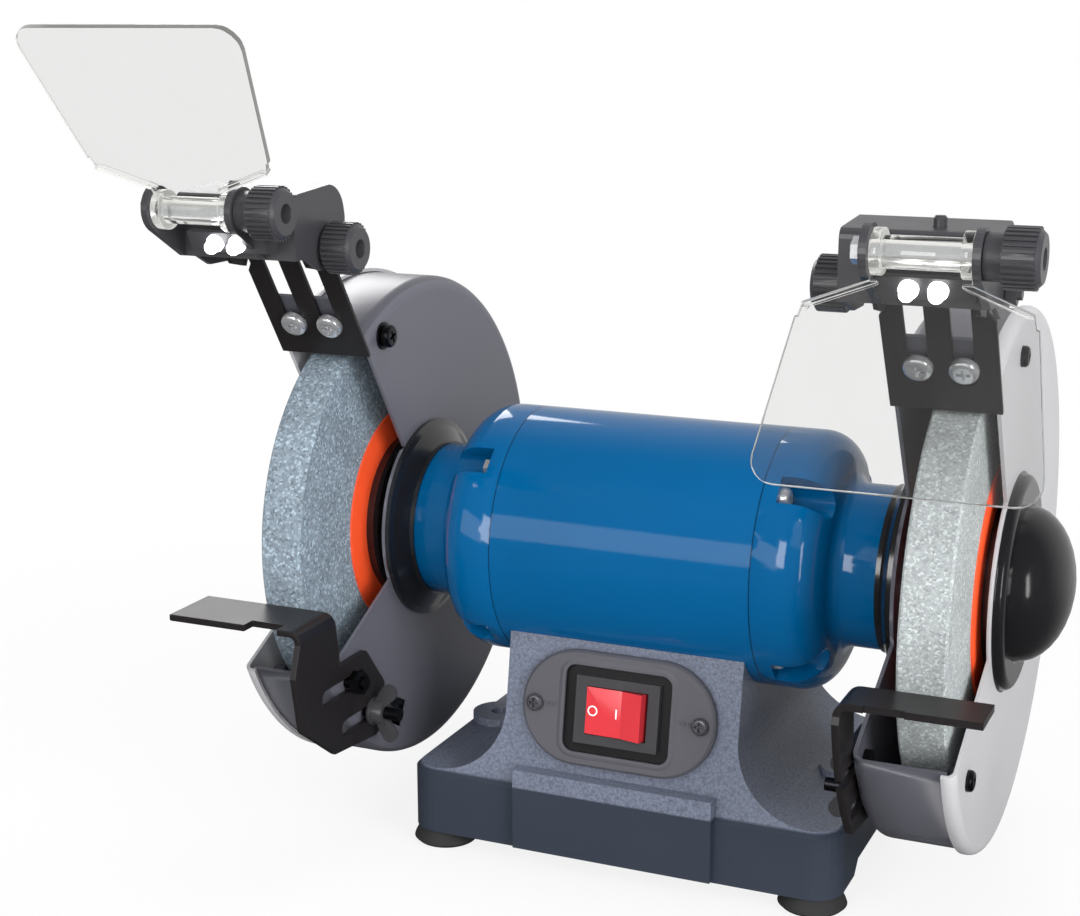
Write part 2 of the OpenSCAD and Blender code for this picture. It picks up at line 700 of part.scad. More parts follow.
module guard_cover() {
    step_out = 6;
    step_r = cap_step_d / 2;
    dome_r = cap_d / 2;
    difference() {
        on_axis(guard_out) rotate_extrude($fn = 128) polygon(concat(
            [[0, cap_out]],
            [for (i = [1 : 9]) [dome_r * sin(i * 10), step_out - 2 + (cap_out - step_out + 2) * cos(i * 10)]],
            [[dome_r + 1, step_out - 1.5]],
            arc([step_r - 4.5, step_out - 5], 3.5, 90, 0, 6), [[step_r - 0.7, 0.3], [step_r, 0]],
            arc([guard_r - cover_edge_r, -cover_edge_r], cover_edge_r, 90, 0, 6),
            [[guard_r, -cover_edge_r - cover_skirt], [guard_r - guard_t, -cover_edge_r - cover_skirt]],
            arc([guard_r - cover_edge_r, -cover_edge_r], cover_edge_r - guard_t, 0, 90, 6),
            [[step_r - 1 - guard_t, -guard_t]],
            arc([step_r - 4.5, step_out - 5], 3.5 - guard_t, 0, 90, 6), [[dome_r - 1, step_out - 1.5 - guard_t]],
            [for (i = [9 : -1 : 1]) [(dome_r - guard_t) * sin(i * 10),
                                     step_out - 2 + (cap_out - step_out + 2 - guard_t) * cos(i * 10)]],
            [[0, cap_out - guard_t]]));
        opening_cut(guard_out - 20, 60, cap_step_d / 2 + 2);
        for (a = cover_screw_angles) at_angle(a) translate([guard_out - 3, cover_screw_r, 0]) rotate([0, 90, 0])
            cylinder(d = 4.6, h = 6);
        at_angle(open_top) translate([guard_mid - flange_w / 2 - clear, flange_low_r - clear, -guard_t - clear - e])
            cube([flange_w + 2 * clear, 60, guard_t + 2 * clear]);
    }
}

module left_guard_cover() color("dimgray") on_side(-1) guard_cover();
module right_guard_cover() color("darkgray") on_side(1) guard_cover();

module guard_mount_rings() color("black") both_sides() difference() {
    on_axis(bell_out) rotate_extrude() polygon([[spindle_d / 2 + 10, 0], [neck_r + 1, 0], [neck_r + 1, 2],
        [ring_r - 3, mount_ring_t - 3], [ring_r, mount_ring_t - 2], [ring_r, mount_ring_t],
        [spindle_d / 2 + 10, mount_ring_t]]);
    for (a = mount_screw_angles) at_angle(a) translate([bell_out - 1, mount_screw_r, 0]) rotate([0, 90, 0])
        cylinder(d = 5, h = mount_ring_t + 2);
}

module guard_mount_screws() color("silver") both_sides() for (a = mount_screw_angles)
    at_angle(a) translate([guard_in + guard_t, mount_screw_r, 0]) rotate([0, 90, 0]) screw(4.9, 9, 3, guard_t + mount_ring_t + 9.5);

module guard_cover_screws() color("black") both_sides() for (a = cover_screw_angles)
    at_angle(a) translate([guard_out, cover_screw_r, 0]) rotate([0, 90, 0]) difference() {
        screw(3.9, 9, 3, guard_t + lug_depth);
        translate([0, 0, 3]) cross_recess(4.5, 1.5);
    }

// ---------- spark plates ----------

// Frame of a spark plate: x across, local y up the plate from its lower edge, local z forward from the flange
module on_spark(gap) {
    at_angle(open_top, guard_mid) translate([0, wheel_r + gap, slide_clear]) children();
}

module spark_plate(gap) on_spark(gap) {
    ear_x = spark_neck_w / 2;
    difference() {
        union() {
            linear_extrude(spark_t) polygon([[-spark_w / 2, 0], [spark_w / 2, 0], [spark_w / 2, spark_full_l],
                [ear_x, spark_full_l + 4], [ear_x, spark_l], [-ear_x, spark_l], [-ear_x, spark_full_l + 4],
                [-spark_w / 2, spark_full_l]]);
            for (s = [-1, 1]) translate([s > 0 ? ear_x - spark_t : -ear_x, 0, 0]) rotate([90, 0, 90])
                linear_extrude(spark_t) polygon([[arm_along - 11, spark_t - e], [arm_along - 14, arm_off - 1],
                    [arm_along - 6, arm_off + 7], [arm_along + 5, arm_off + 8], [arm_along + 9, arm_off + 3],
                    [arm_along + 9, spark_t - e]]);
        }
        for (s = [-1, 1]) translate([s * slot_gap / 2, 0, -1]) {
            for (y = [slot_start + slot_w / 2, slot_end - slot_w / 2]) translate([0, y, 0]) cylinder(d = slot_w, h = spark_t + 2);
            translate([-slot_w / 2, slot_start + slot_w / 2, 0]) cube([slot_w, slot_end - slot_start - slot_w, spark_t + 2]);
        }
        translate([-30, arm_along, arm_off]) rotate([0, 90, 0]) cylinder(d = bolt_d + 0.4, h = 60);
    }
}

module left_spark_plate() color("black") on_side(-1) spark_plate(left_spark_gap);
module right_spark_plate() color("black") on_side(1) spark_plate(right_spark_gap);

module spark_plate_screws() color("silver") both_sides() at_angle(open_top, guard_mid)
    for (s = [-1, 1]) translate([s * slot_gap / 2, screw_r_pos, spark_t + 2 * slide_clear]) difference() {
        union() {
            screw(4.9, 12, 3.6, spark_t + guard_t + 5);
            translate([0, 0, -spark_t - 2 * slide_clear - guard_t - 4]) cylinder(d = 9, h = 4 - e, $fn = 6);
        }
        translate([0, 0, 3.6]) cross_recess(5.4, 1.6);
    }

// ---------- lamp heads ----------

// Frame of a lamp head: x across the guard, local y back and local z up from the arm bolt
module on_head(s, gap) {
    r = wheel_r + gap + arm_along;
    off = slide_clear + arm_off;
    translate([s * guard_mid, axis_y + r * cos(open_top) - off * sin(open_top),
               axis_z + r * sin(open_top) + off * cos(open_top)]) children();
}

module side_view_x(x, t) {
    translate([x, 0, 0]) rotate([90, 0, 90]) linear_extrude(t) children();
}

// Drawn for the right head: the motor is at -X, so the long wall is at -X
module lamp_housing() {
    roof = concat(arc([head_front + 4, head_top - 4], 4, 180, 90, 4), arc([1, head_top - 11], roof_r, 85, 15, 6));
    wall_top = concat(roof, [[14.5, head_top - 12], [14, -4], [7, -9], [-7, -9], [head_front + 8, box_low],
                             [head_front, box_low]]);
    difference() {
        union() {
            for (x = [-head_half, head_half - head_wall]) side_view_x(x, head_wall) polygon(wall_top);
            for (x = [-head_half + head_wall - e, spark_neck_w / 2 + clear])
                side_view_x(x, head_half - head_wall - spark_neck_w / 2 - clear + e) circle(r = 5.5);
            side_view_x(-head_half, head_w) polygon(concat(roof, arc([1, head_top - 11], roof_r - head_wall, 15, 85, 6),
                [[box_back, head_top - head_wall + 0.8], [box_back, box_low], [head_front, box_low]]));
        }
        side_view_x(-cell_l / 2 - 1.5, cell_l + 3) polygon([[head_front + 1.6, head_top - 4], [head_front + 1.6, box_low - 1],
            [box_back - 1.2, box_low - 1], [box_back - 1.2, head_top - 3]]);
        side_view_x(-head_half - 1, head_w + 2) circle(d = bolt_d + 0.4 - 2 * run_clear);
        translate([button_x, button_y, head_top - 6]) cylinder(d = 5.4, h = 12);
    }
}

// Two forward ears that hold the hinge bolt
module hinge_ears() {
    for (x = [head_half - lug_t, -head_half + inner_lug]) difference() {
        hull() {
            side_view_x(x, lug_t) {
                translate([-hinge_fwd, hinge_up]) circle(r = lug_r, $fn = 32);
                translate([head_front, box_low]) square([2, head_top - 4 - box_low]);
            }
        }
        side_view_x(-head_half - 1, head_w + 2) translate([-hinge_fwd, hinge_up]) circle(d = bolt_d + 0.4);
    }
}

module lamp_bar() {
    low = box_low + lamp_up;
    side_view_x(-18, 36) polygon([[head_front + e, low], [head_front + e, low + 8],
        [head_front - 9, low + 9.5], [head_front - 11.9, low + 8.6], [head_front - 8.1, low + 0.4]]);
}

module head_shell(s) {
    mirror([s > 0 ? 0 : 1, 0, 0]) {
        lamp_housing();
        hinge_ears();
        translate([s > 0 ? 6 : -2, 0, 0]) lamp_bar();
    }
}

module left_lamp_housing() color("black") on_head(-1, left_spark_gap) head_shell(-1);
module right_lamp_housing() color("black") on_head(1, right_spark_gap) head_shell(1);

module lamp_cells() for (z = [3.9, 14.2]) side_view_x(-cell_l / 2, cell_l)
    translate([(head_front + 1.6 + box_back - 1.2) / 2, z]) circle(d = cell_d - 0.6);

module left_lamp_cells() color("gray") on_head(-1, left_spark_gap) lamp_cells();
module right_lamp_cells() color("gray") on_head(1, right_spark_gap) lamp_cells();

lamp_gap = 10.5;

module lamp(s) for (t = [-1, 1]) translate([(s > 0 ? 6 : 2) + t * lamp_gap / 2, head_front - 10, box_low + lamp_up + 4.5])
    rotate([90 + 25, 0, 0]) {
        cylinder(r = 2.8, h = 4);
        translate([0, 0, 4]) sphere(r = 2.8);
        cylinder(r = 3.6, h = 1.4);
    }

module left_lamp() color("white") on_head(-1, left_spark_gap) lamp(-1);
module right_lamp() color("white") on_head(1, right_spark_gap) lamp(1);

module lamp_button(s) translate([s * button_x, button_y, head_top - 2.6]) rotate_extrude()
    polygon([[0, 0], [2.5, 0], [2.5, 6.4], [1.9, 7.2], [0, 7.2]]);

module left_lamp_button() color("black") on_head(-1, left_spark_gap) lamp_button(-1);
module right_lamp_button() color("black") on_head(1, right_spark_gap) lamp_button(1);

// Knurled knob along +X from x = 0: smooth neck, then the grip with a hole in its end face
module knob(neck_l, bore_d) {
    rotate([0, 90, 0]) difference() {
        union() {
            cylinder(r = knob_neck_r, h = neck_l + 1);
            translate([0, 0, neck_l]) rotate_extrude() polygon([[0, 0], [knob_d / 2 - 0.8, 0], [knob_d / 2 - 0.8, knob_grip - 1.6],
                [knob_d / 2 - 2.4, knob_grip], [0, knob_grip]]);
            for (i = [0 : 29]) rotate([0, 0, i * 12]) translate([knob_d / 2 - 1.5, -0.55, neck_l + 0.6])
                cube([1.5, 1.1, knob_grip - 2.4]);
        }
        translate([0, 0, neck_l + knob_grip - 6]) cylinder(d = 8, h = 10);
        if (bore_d > 0) translate([0, 0, -1]) cylinder(d = bore_d, h = neck_l + knob_grip);
    }
}

// Arm knob with its stud, on the motor side of each head
module arm_knob() translate([-head_half - clear, 0, 0]) {
    mirror([1, 0, 0]) knob(1.5, 0);
    translate([-3, 0, 0]) rotate([0, 90, 0]) cylinder(d = bolt_d - 2 * run_clear, h = 3 + clear + head_w + 6);
    translate([2 * clear + head_w, 0, 0]) rotate([0, 90, 0]) cylinder(d = 9.2, h = 4, $fn = 6);
}

module left_arm_knob() color("black") on_head(-1, left_spark_gap) mirror([1, 0, 0]) arm_knob();
module right_arm_knob() color("black") on_head(1, right_spark_gap) arm_knob();

hinge_x0 = head_half;
hinge_x1 = -head_half + inner_lug;

// Bolt of the visor hinge: its head is at the -X end and the knob at the +X end of both heads
module hinge_bolt(x0, x1) translate([x0, -hinge_fwd, hinge_up]) rotate([0, 90, 0]) {
    cylinder(d = bolt_d, h = x1 - x0 + knob_neck_l + knob_grip - 7);
    translate([0, 0, -hinge_head_t]) cylinder(d = 10, h = hinge_head_t, $fn = 6);
}

module left_hinge_bolt() color("silver") on_head(-1, left_spark_gap) hinge_bolt(-hinge_x0, -hinge_x1);
module right_hinge_bolt() color("silver") on_head(1, right_spark_gap) hinge_bolt(hinge_x1, hinge_x0);

module visor_knob(x) translate([x + clear, -hinge_fwd, hinge_up]) knob(knob_neck_l, bolt_d + 2 * run_clear);

module left_visor_knob() color("black") on_head(-1, left_spark_gap) visor_knob(-hinge_x1);
module right_visor_knob() color("black") on_head(1, right_spark_gap) visor_knob(hinge_x0);

// Clear visor: sleeve on the hinge bolt, tapering shoulders, wide sheet with rounded far corners
module visor(s, angle) {
    x_mid = s * (hinge_x0 + hinge_x1) / 2;
    half_tube = (hinge_x0 - hinge_x1 - 2 * lug_t) / 2 - clear;
    shoulder = 22;
    free_r = lug_r + 3 * clear;
    far_r = 9;
    a = atan((visor_far_w - visor_shoulder_w) / 2 / (visor_l - shoulder));
    far_x = visor_far_w / 2;
    translate([x_mid, -hinge_fwd, hinge_up]) rotate([angle, 0, 0]) difference() {
        union() {
            rotate([0, 90, 0]) translate([0, 0, -half_tube]) cylinder(d = tube_d, h = 2 * half_tube);
            for (t = [-1, 1]) rotate([0, 90, 0]) translate([0, 0, t > 0 ? half_tube - 4 : -half_tube])
                cylinder(d = tube_d + 5, h = 4);
            translate([0, 0, -visor_t / 2]) linear_extrude(visor_t) polygon(concat(
                [[-half_tube, 4], [half_tube, 4], [half_tube, free_r], [visor_shoulder_w / 2 - 2, shoulder - 1],
                 [visor_shoulder_w / 2 - 1, shoulder + 3], [visor_shoulder_w / 2, shoulder + 3]],
                arc([far_x - far_r, visor_l - far_r], far_r, -a, 90, 6),
                arc([-far_x + far_r, visor_l - far_r], far_r, 90, 180 + a, 6),
                [[-visor_shoulder_w / 2, shoulder + 3], [-visor_shoulder_w / 2 + 1, shoulder + 3],
                 [-visor_shoulder_w / 2 + 2, shoulder - 1], [-half_tube, free_r]]));
            for (t = [-1, 1]) hull() {
                translate([t * (half_tube - 1.5) - 1.5, free_r, -2]) cube([3, 1, 4]);
                translate([t * (visor_shoulder_w / 2 - 3.5) - 1.5, shoulder - 2, -2]) cube([3, 1, 4]);
            }
        }
        rotate([0, 90, 0]) translate([0, 0, -60]) cylinder(d = bolt_d + 0.4, h = 120);
    }
}

module left_visor() color("lightcyan", 0.4) on_head(-1, left_spark_gap) visor(-1, visor_raised);
module right_visor() color("lightcyan", 0.4) on_head(1, right_spark_gap) visor(1, visor_lowered);

// ---------- tool rests ----------

module rest_slot(p) hull() for (dy = [-24, 7]) translate([p[0] + dy, p[1]]) circle(d = rest_slot_w, $fn = 32);

module tool_rest(table_l, table_d, notch, curve_r) {
    low = rest_bolts_at[1];
    high = rest_bolts_at[0];
    front = rest_back - table_d;
    top = -rest_drop;
    bend = 6;
    difference() {
        union() {
            // Table and bend, one section along the depth
            translate([0, axis_y + rest_back, axis_z]) rotate([90, 0, 0]) linear_extrude(table_d) polygon(concat(
                arc([rest_leg_in + bend, top - bend], bend, 180, 90, 6),
                [[rest_leg_in + table_l, top], [rest_leg_in + table_l, top - rest_t]],
                arc([rest_leg_in + bend, top - bend], bend - rest_t, 90, 180, 6)));
            slab_x(rest_leg_in, rest_t) intersection() {
                polygon([[rest_back, top - bend], [front, top - bend], [front - 5, top - 20],
                    [front, top - 46], low + [-34, -9.5], low + [4, -13.5], low + [13, -9.5], low + [13, 10.5],
                    high + [13, 11], [rest_back + 3, top - 26]]);
                circle(r = curve_r, $fn = 128);
            }
        }
        for (p = rest_bolts_at) slab_x(rest_leg_in - 1, rest_t + 2) rest_slot(p);
        translate([rest_leg_in + 12, axis_y + front - 1, axis_z + top - rest_t - 1]) cube([16, notch + 1, rest_t + 2]);
    }
}

module left_tool_rest() color("black") on_side(-1) tool_rest(left_table_l, left_table_d, 7, 2 * guard_r);
module right_tool_rest() color("black") on_side(1) tool_rest(right_table_l, right_table_d, 1, guard_r + 9);

module rest_bolts() color("silver") both_sides() for (i = [0, 1])
    translate([guard_in + guard_t, axis_y + rest_bolts_at[i][0], axis_z + rest_bolts_at[i][1]]) rotate([0, -90, 0]) {
        mirror([0, 0, 1]) cylinder(d = 10, h = 3);
        cylinder(d = rest_bolt_d, h = i == 1 ? 20 : 12);
        if (i == 0) translate([0, 0, guard_t + 0.4 + rest_t + clear]) cylinder(d = 11, h = 5, $fn = 6);
    }

module rest_knob() translate([rest_leg_in - clear, axis_y + rest_bolts_at[1][0], axis_z + rest_bolts_at[1][1]])
    rotate([0, -90, 0]) difference() {
        union() {
            cylinder(d = 13, h = 1.5);
            cylinder(d = 11, h = 7);
            for (s = [-1, 1]) hull() {
                translate([s * 3, -1.5, 1.5]) cube([2, 3, 5]);
                translate([s * 10, -1, 9]) rotate([-90, 0, 0]) cylinder(r = 4, h = 2, $fn = 24);
            }
        }
        translate([0, 0, -1]) cylinder(d = rest_bolt_d + 2 * run_clear, h = 20);
    }

module left_rest_knob() color("black") on_side(-1) rest_knob();
module right_rest_knob() color("black") on_side(1) rest_knob();

// ---------- switch ----------

module stadium(w, h) hull() for (s = [-1, 1]) translate([s * (w - h) / 2, 0]) circle(d = h, $fn = 48);

module soft_rect(w, h, r) hull() for (sx = [-1, 1], sy = [-1, 1])
    translate([sx * (w / 2 - r), sy * (h / 2 - r)]) circle(r = r, $fn = 32);

// Cover plate with a soft edge and a sunken well with a raised rim around the switch
module switch_plate() color("dimgray") on_front() difference() {
    union() {
        hull() {
            linear_extrude(plate_top - 1.2) stadium(plate_w, plate_h);
            linear_extrude(plate_top) stadium(plate_w - 2.4, plate_h - 2.4);
        }
        hull() {
            linear_extrude(plate_top) soft_rect(well_w + 6, well_h + 6, 8);
            linear_extrude(plate_top + 0.5) soft_rect(well_w + 3, well_h + 3, 6.5);
        }
    }
    translate([0, 0, cover_t]) linear_extrude(5) soft_rect(well_w, well_h, 5);
    translate([-(rocker_w + 4) / 2, -(rocker_h + 4) / 2, -1]) cube([rocker_w + 4, rocker_h + 4, cover_t + 2]);
    for (s = [-1, 1]) translate([s * plate_screw_x, 0, -1]) cylinder(d = 4, h = plate_top + 2);
}

module switch_screws() color("black") for (s = [-1, 1]) on_front(s * plate_screw_x) translate([0, 0, plate_top])
    difference() {
        screw(3, 8, 2.4, 9);
        translate([0, 0, 2.4]) cross_recess(4.5, 1.4);
    }

pivot_z = -1.5;

module switch_body() color("black") on_front() difference() {
    union() {
        translate([-frame_w / 2, -frame_h / 2, cover_t]) cube([frame_w, frame_h, frame_t]);
        translate([-(rocker_w + 3) / 2, -(rocker_h + 3) / 2, -body_depth]) cube([rocker_w + 3, rocker_h + 3, body_depth + cover_t + 1]);
        for (x = [-8, 0, 8]) translate([x - 0.4, -3, -body_depth - 8]) cube([0.8, 6, 9]);
    }
    translate([-rocker_w / 2 - 0.4, -rocker_h / 2 - 0.4, -9]) cube([rocker_w + 0.8, rocker_h + 0.8, 20]);
    translate([0, -frame_h, pivot_z + cover_t]) rotate([-90, 0, 0]) cylinder(d = 3, h = 2 * frame_h);
}

module switch_rocker() color("red") on_front() translate([0, 0, pivot_z + cover_t]) rotate([0, -rocker_tilt, 0]) {
    translate([0, rocker_h / 2, 0]) rotate([90, 0, 0]) linear_extrude(rocker_h) polygon([
        [-rocker_w / 2 + 1, -1], [-4, -6], [4, -6], [rocker_w / 2 - 1, -1],
        [rocker_w / 2 - 0.4, 6.5], [valley_x, 4.6], [-rocker_w / 2 + 0.4, 6.5]]);
    translate([0, -rocker_h / 2 - 1.2, 0]) rotate([-90, 0, 0]) cylinder(d = 3 - 2 * run_clear, h = rocker_h + 2.4);
}

// ---------- assembly ----------

base_casting();
bottom_plate();
rubber_feet();
foot_screws();
cable_gland();
capacitor();
motor_barrel();
left_end_bell();
right_end_bell();
tie_bolts();
stator_core();
stator_windings();
bearing_outer_rings();
cradle_screws();
shaft();
rotor_core();
bearing_inner_rings();
bearing_balls();
inner_flanges();
outer_flanges();
paper_washers();
left_wheel();
right_wheel();
spindle_nuts();
left_guard_body();
right_guard_body();
left_guard_cover();
right_guard_cover();
guard_mount_rings();
guard_cover_screws();
guard_mount_screws();
left_spark_plate();
right_spark_plate();
spark_plate_screws();
left_lamp_housing();
right_lamp_housing();
left_lamp_cells();
right_lamp_cells();
left_lamp();
right_lamp();
left_lamp_button();
right_lamp_button();
left_arm_knob();
right_arm_knob();
left_hinge_bolt();
right_hinge_bolt();
left_visor_knob();
right_visor_knob();
left_visor();
right_visor();
left_tool_rest();
right_tool_rest();
rest_bolts();
left_rest_knob();
right_rest_knob();
switch_plate();
switch_body();
switch_rocker();
switch_screws();
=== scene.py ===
"""Bench grinder: paints, plastics, abrasives and clear sheets for a set of machined parts."""

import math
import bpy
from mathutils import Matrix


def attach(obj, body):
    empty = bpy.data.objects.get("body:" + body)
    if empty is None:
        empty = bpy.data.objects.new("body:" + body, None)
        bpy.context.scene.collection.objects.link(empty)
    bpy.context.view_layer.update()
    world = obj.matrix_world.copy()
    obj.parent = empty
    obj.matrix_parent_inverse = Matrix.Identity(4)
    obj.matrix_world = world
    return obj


bl_info = {
    "name": "Bench Grinder Dressing",
    "version": (1, 0, 0),
    "blender": (4, 5, 0),
    "location": "View3D > Sidebar > Grinder",
    "description": "Finishes for the motor, guards, wheels, lamps and visors of a bench grinder",
    "category": "Object",
}

import bpy
from mathutils import Matrix, Vector

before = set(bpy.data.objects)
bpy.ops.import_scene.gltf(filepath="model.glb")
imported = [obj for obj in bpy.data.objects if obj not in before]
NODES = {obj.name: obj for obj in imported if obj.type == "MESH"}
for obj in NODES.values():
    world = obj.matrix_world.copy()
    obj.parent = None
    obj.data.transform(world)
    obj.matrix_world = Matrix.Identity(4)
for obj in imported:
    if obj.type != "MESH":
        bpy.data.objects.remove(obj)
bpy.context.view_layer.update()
MM = 0.001
SIDES = ("left", "right")

# Stations shared with the solids, in metres
SPINDLE = Vector((0.0, -0.015, 0.1455))
BELL_SEAM = 0.061  # joint of barrel and end bell, from the middle
SEAM_HALF = 0.0004
GUARD_IN = 0.1194  # motor side of a guard back plate, from the middle
GUARD_RIM_R = 0.1145  # where the flat back plate turns into its rim
CAP_STEP_R = 0.0482  # edge of the pressed step round a spindle cap
PAINT_BREAK = 0.0385  # height where the base changes to its skirt colour
FRONT_LEAN = math.radians(9.185)  # lean of the pedestal's front
LEFT_VISOR = math.radians(123)
RIGHT_VISOR = math.radians(246)

# The switch: places on its plate are measured across, up and out from SWITCH_CENTRE
SWITCH_CENTRE = Vector((0.0, -0.065194, 0.0785))
PLATE = Matrix.Translation(SWITCH_CENTRE) @ Matrix.Rotation(math.pi / 2 - FRONT_LEAN, 4, "X")
WELL_HALF_W = 0.0262
WELL_HALF_H = 0.0207
WELL_RIM = 0.0036
LEGEND_X = 0.0323
LEGEND_SEAT = 0.0045
ROCKER_TILT = math.radians(8)
ROCKER_PIVOT = 0.0005
VALLEY = 0.003  # where the rocker's two faces meet, right of its middle
VALLEY_HEIGHT = 0.0046
FACE_RISE = 0.0019
LEFT_FACE_L = 0.01685
RIGHT_FACE_L = 0.01085
RING_X = -0.0106
RING_R = 0.00235
BAR_X = 0.0008
BAR_L = 0.0044
MARK_LINE = 0.00055
MARK_HEIGHT = 0.00012

# The screw high on each guard back plate, measured from the spindle line
SCREW_ANGLE = math.radians(115.5)
SCREW_REACH = 0.106
HEAD_R = 0.0052
HEAD_H = 0.0044
WASHER_R = 0.0063
WASHER_T = 0.001
RECESS_L = 0.0056
RECESS_W = 0.0013
RECESS_H = 0.003


# ---------------------------------------------------------------- settings

def tint(name, description, colour):
    """A colour property with its default, in linear light."""
    return bpy.props.FloatVectorProperty(
        name=name, description=description, subtype="COLOR", size=3,
        min=0.0, max=1.0, default=colour
    )


def amount(name, description, value, low=0.0, high=1.0):
    """A plain factor property."""
    return bpy.props.FloatProperty(
        name=name, description=description, subtype="FACTOR", min=low, max=high, default=value
    )


def grain(name, value):
    """The size of one abrasive grain."""
    return bpy.props.FloatProperty(
        name=name, description="Size of one grain", subtype="DISTANCE", unit="LENGTH", default=value
    )


def watts(name, description, value):
    """The power of one softbox."""
    return bpy.props.FloatProperty(
        name=name, description=description, unit="POWER", default=value
    )


class GrinderPaint(bpy.types.PropertyGroup):
    """Colours of the painted metal."""

    motor: tint("Motor", "Gloss enamel on the barrel and end bells", (0.0, 0.07, 0.192))
    base: tint("Base", "Hammered enamel on the pedestal", (0.12, 0.136, 0.182))
    skirt: tint("Skirt", "Darker enamel low on the base", (0.026, 0.033, 0.047))
    guard: tint("Guard plate", "Satin enamel on the guard back plates", (0.086, 0.087, 0.107))
    # Cover: dark satin paint lightened to a light grey, partly the paint's own colour and partly
    # painted reflection of the bright surroundings.
    cover: tint("Guard cover", "Satin enamel on the outer covers", (0.37, 0.368, 0.382))
    black: tint("Black parts", "Powder coat on bands, rests and brackets", (0.011, 0.0095, 0.01))


class GrinderStone(bpy.types.PropertyGroup):
    """Look of the wheels and their washers."""

    coarse: tint("Coarse wheel", "Body colour of the coarse wheel", (0.178, 0.222, 0.262))
    fine: tint("Fine wheel", "Body colour of the fine wheel", (0.285, 0.308, 0.31))
    washer: tint("Paper washer", "Printed colour of the paper washers", (0.85, 0.085, 0.022))
    coarse_grain: grain("Coarse grain", 0.0011)
    fine_grain: grain("Fine grain", 0.0009)


class GrinderTrim(bpy.types.PropertyGroup):
    """Plastics, clear parts and lamps."""

    plastic: tint("Black plastic", "Knobs, housings and switch", (0.033, 0.032, 0.036))
    rocker: tint("Rocker", "Switch rocker", (0.52, 0.03, 0.04))
    visor: tint("Visor", "Clear sheet", (0.86, 0.863, 0.855))
    lamp_power: bpy.props.FloatProperty(
        name="Lamp", description="Brightness of the lamp lenses", subtype="NONE", default=9.0
    )


class GrinderStudio(bpy.types.PropertyGroup):
    """Lights and camera."""

    key: watts("Key", "Main softbox", 7.5)
    fill: watts("Fill", "Softbox on the right", 30.0)
    top: watts("Top", "Overhead softbox", 9.0)
    rim: watts("Rim", "Softbox behind", 6.0)
    wash: watts("Wash", "Large unmirrored front light", 9.0)
    window: watts("Window", "Crisp box in front", 3.2)
    side: watts("Side", "Wide box on the left", 1.3)
    strip: watts("Strip", "Tall strip on the right", 3.4)
    ambient: amount("Ambient", "Even light from all round", 0.6)
    front: amount("Dark side", "Mirrored brightness in front of the grinder", 0.14)
    lens: bpy.props.FloatProperty(
        name="Lens", description="Focal length", unit="CAMERA", default=62.94
    )


# ---------------------------------------------------------------- node helpers

def put(tree, kind, at, **settings):
    """Adds a shader node at a grid place and sets its fields."""
    made = tree.nodes.new(kind)
    made.location = (at[0] * 200, at[1] * 170)
    for key, value in settings.items():
        setattr(made, key, value)
    return made


def join(tree, source, target):
    """Links an output socket to an input socket."""
    tree.links.new(source, target)


def constant(made, **values):
    """Sets unlinked input sockets by name; underscores stand for spaces."""
    for key, value in values.items():
        made.inputs[key.replace("_", " ")].default_value = value


def group(name, inputs, outputs):
    """A new shader node group with its sockets and end nodes."""
    tree = bpy.data.node_groups.new(name, "ShaderNodeTree")
    for label, kind, default in inputs:
        made = tree.interface.new_socket(name=label, in_out="INPUT", socket_type=kind)
        made.default_value = default
    for label, kind in outputs:
        tree.interface.new_socket(name=label, in_out="OUTPUT", socket_type=kind)
    return tree, put(tree, "NodeGroupInput", (-5, 0)), put(tree, "NodeGroupOutput", (5, 0))


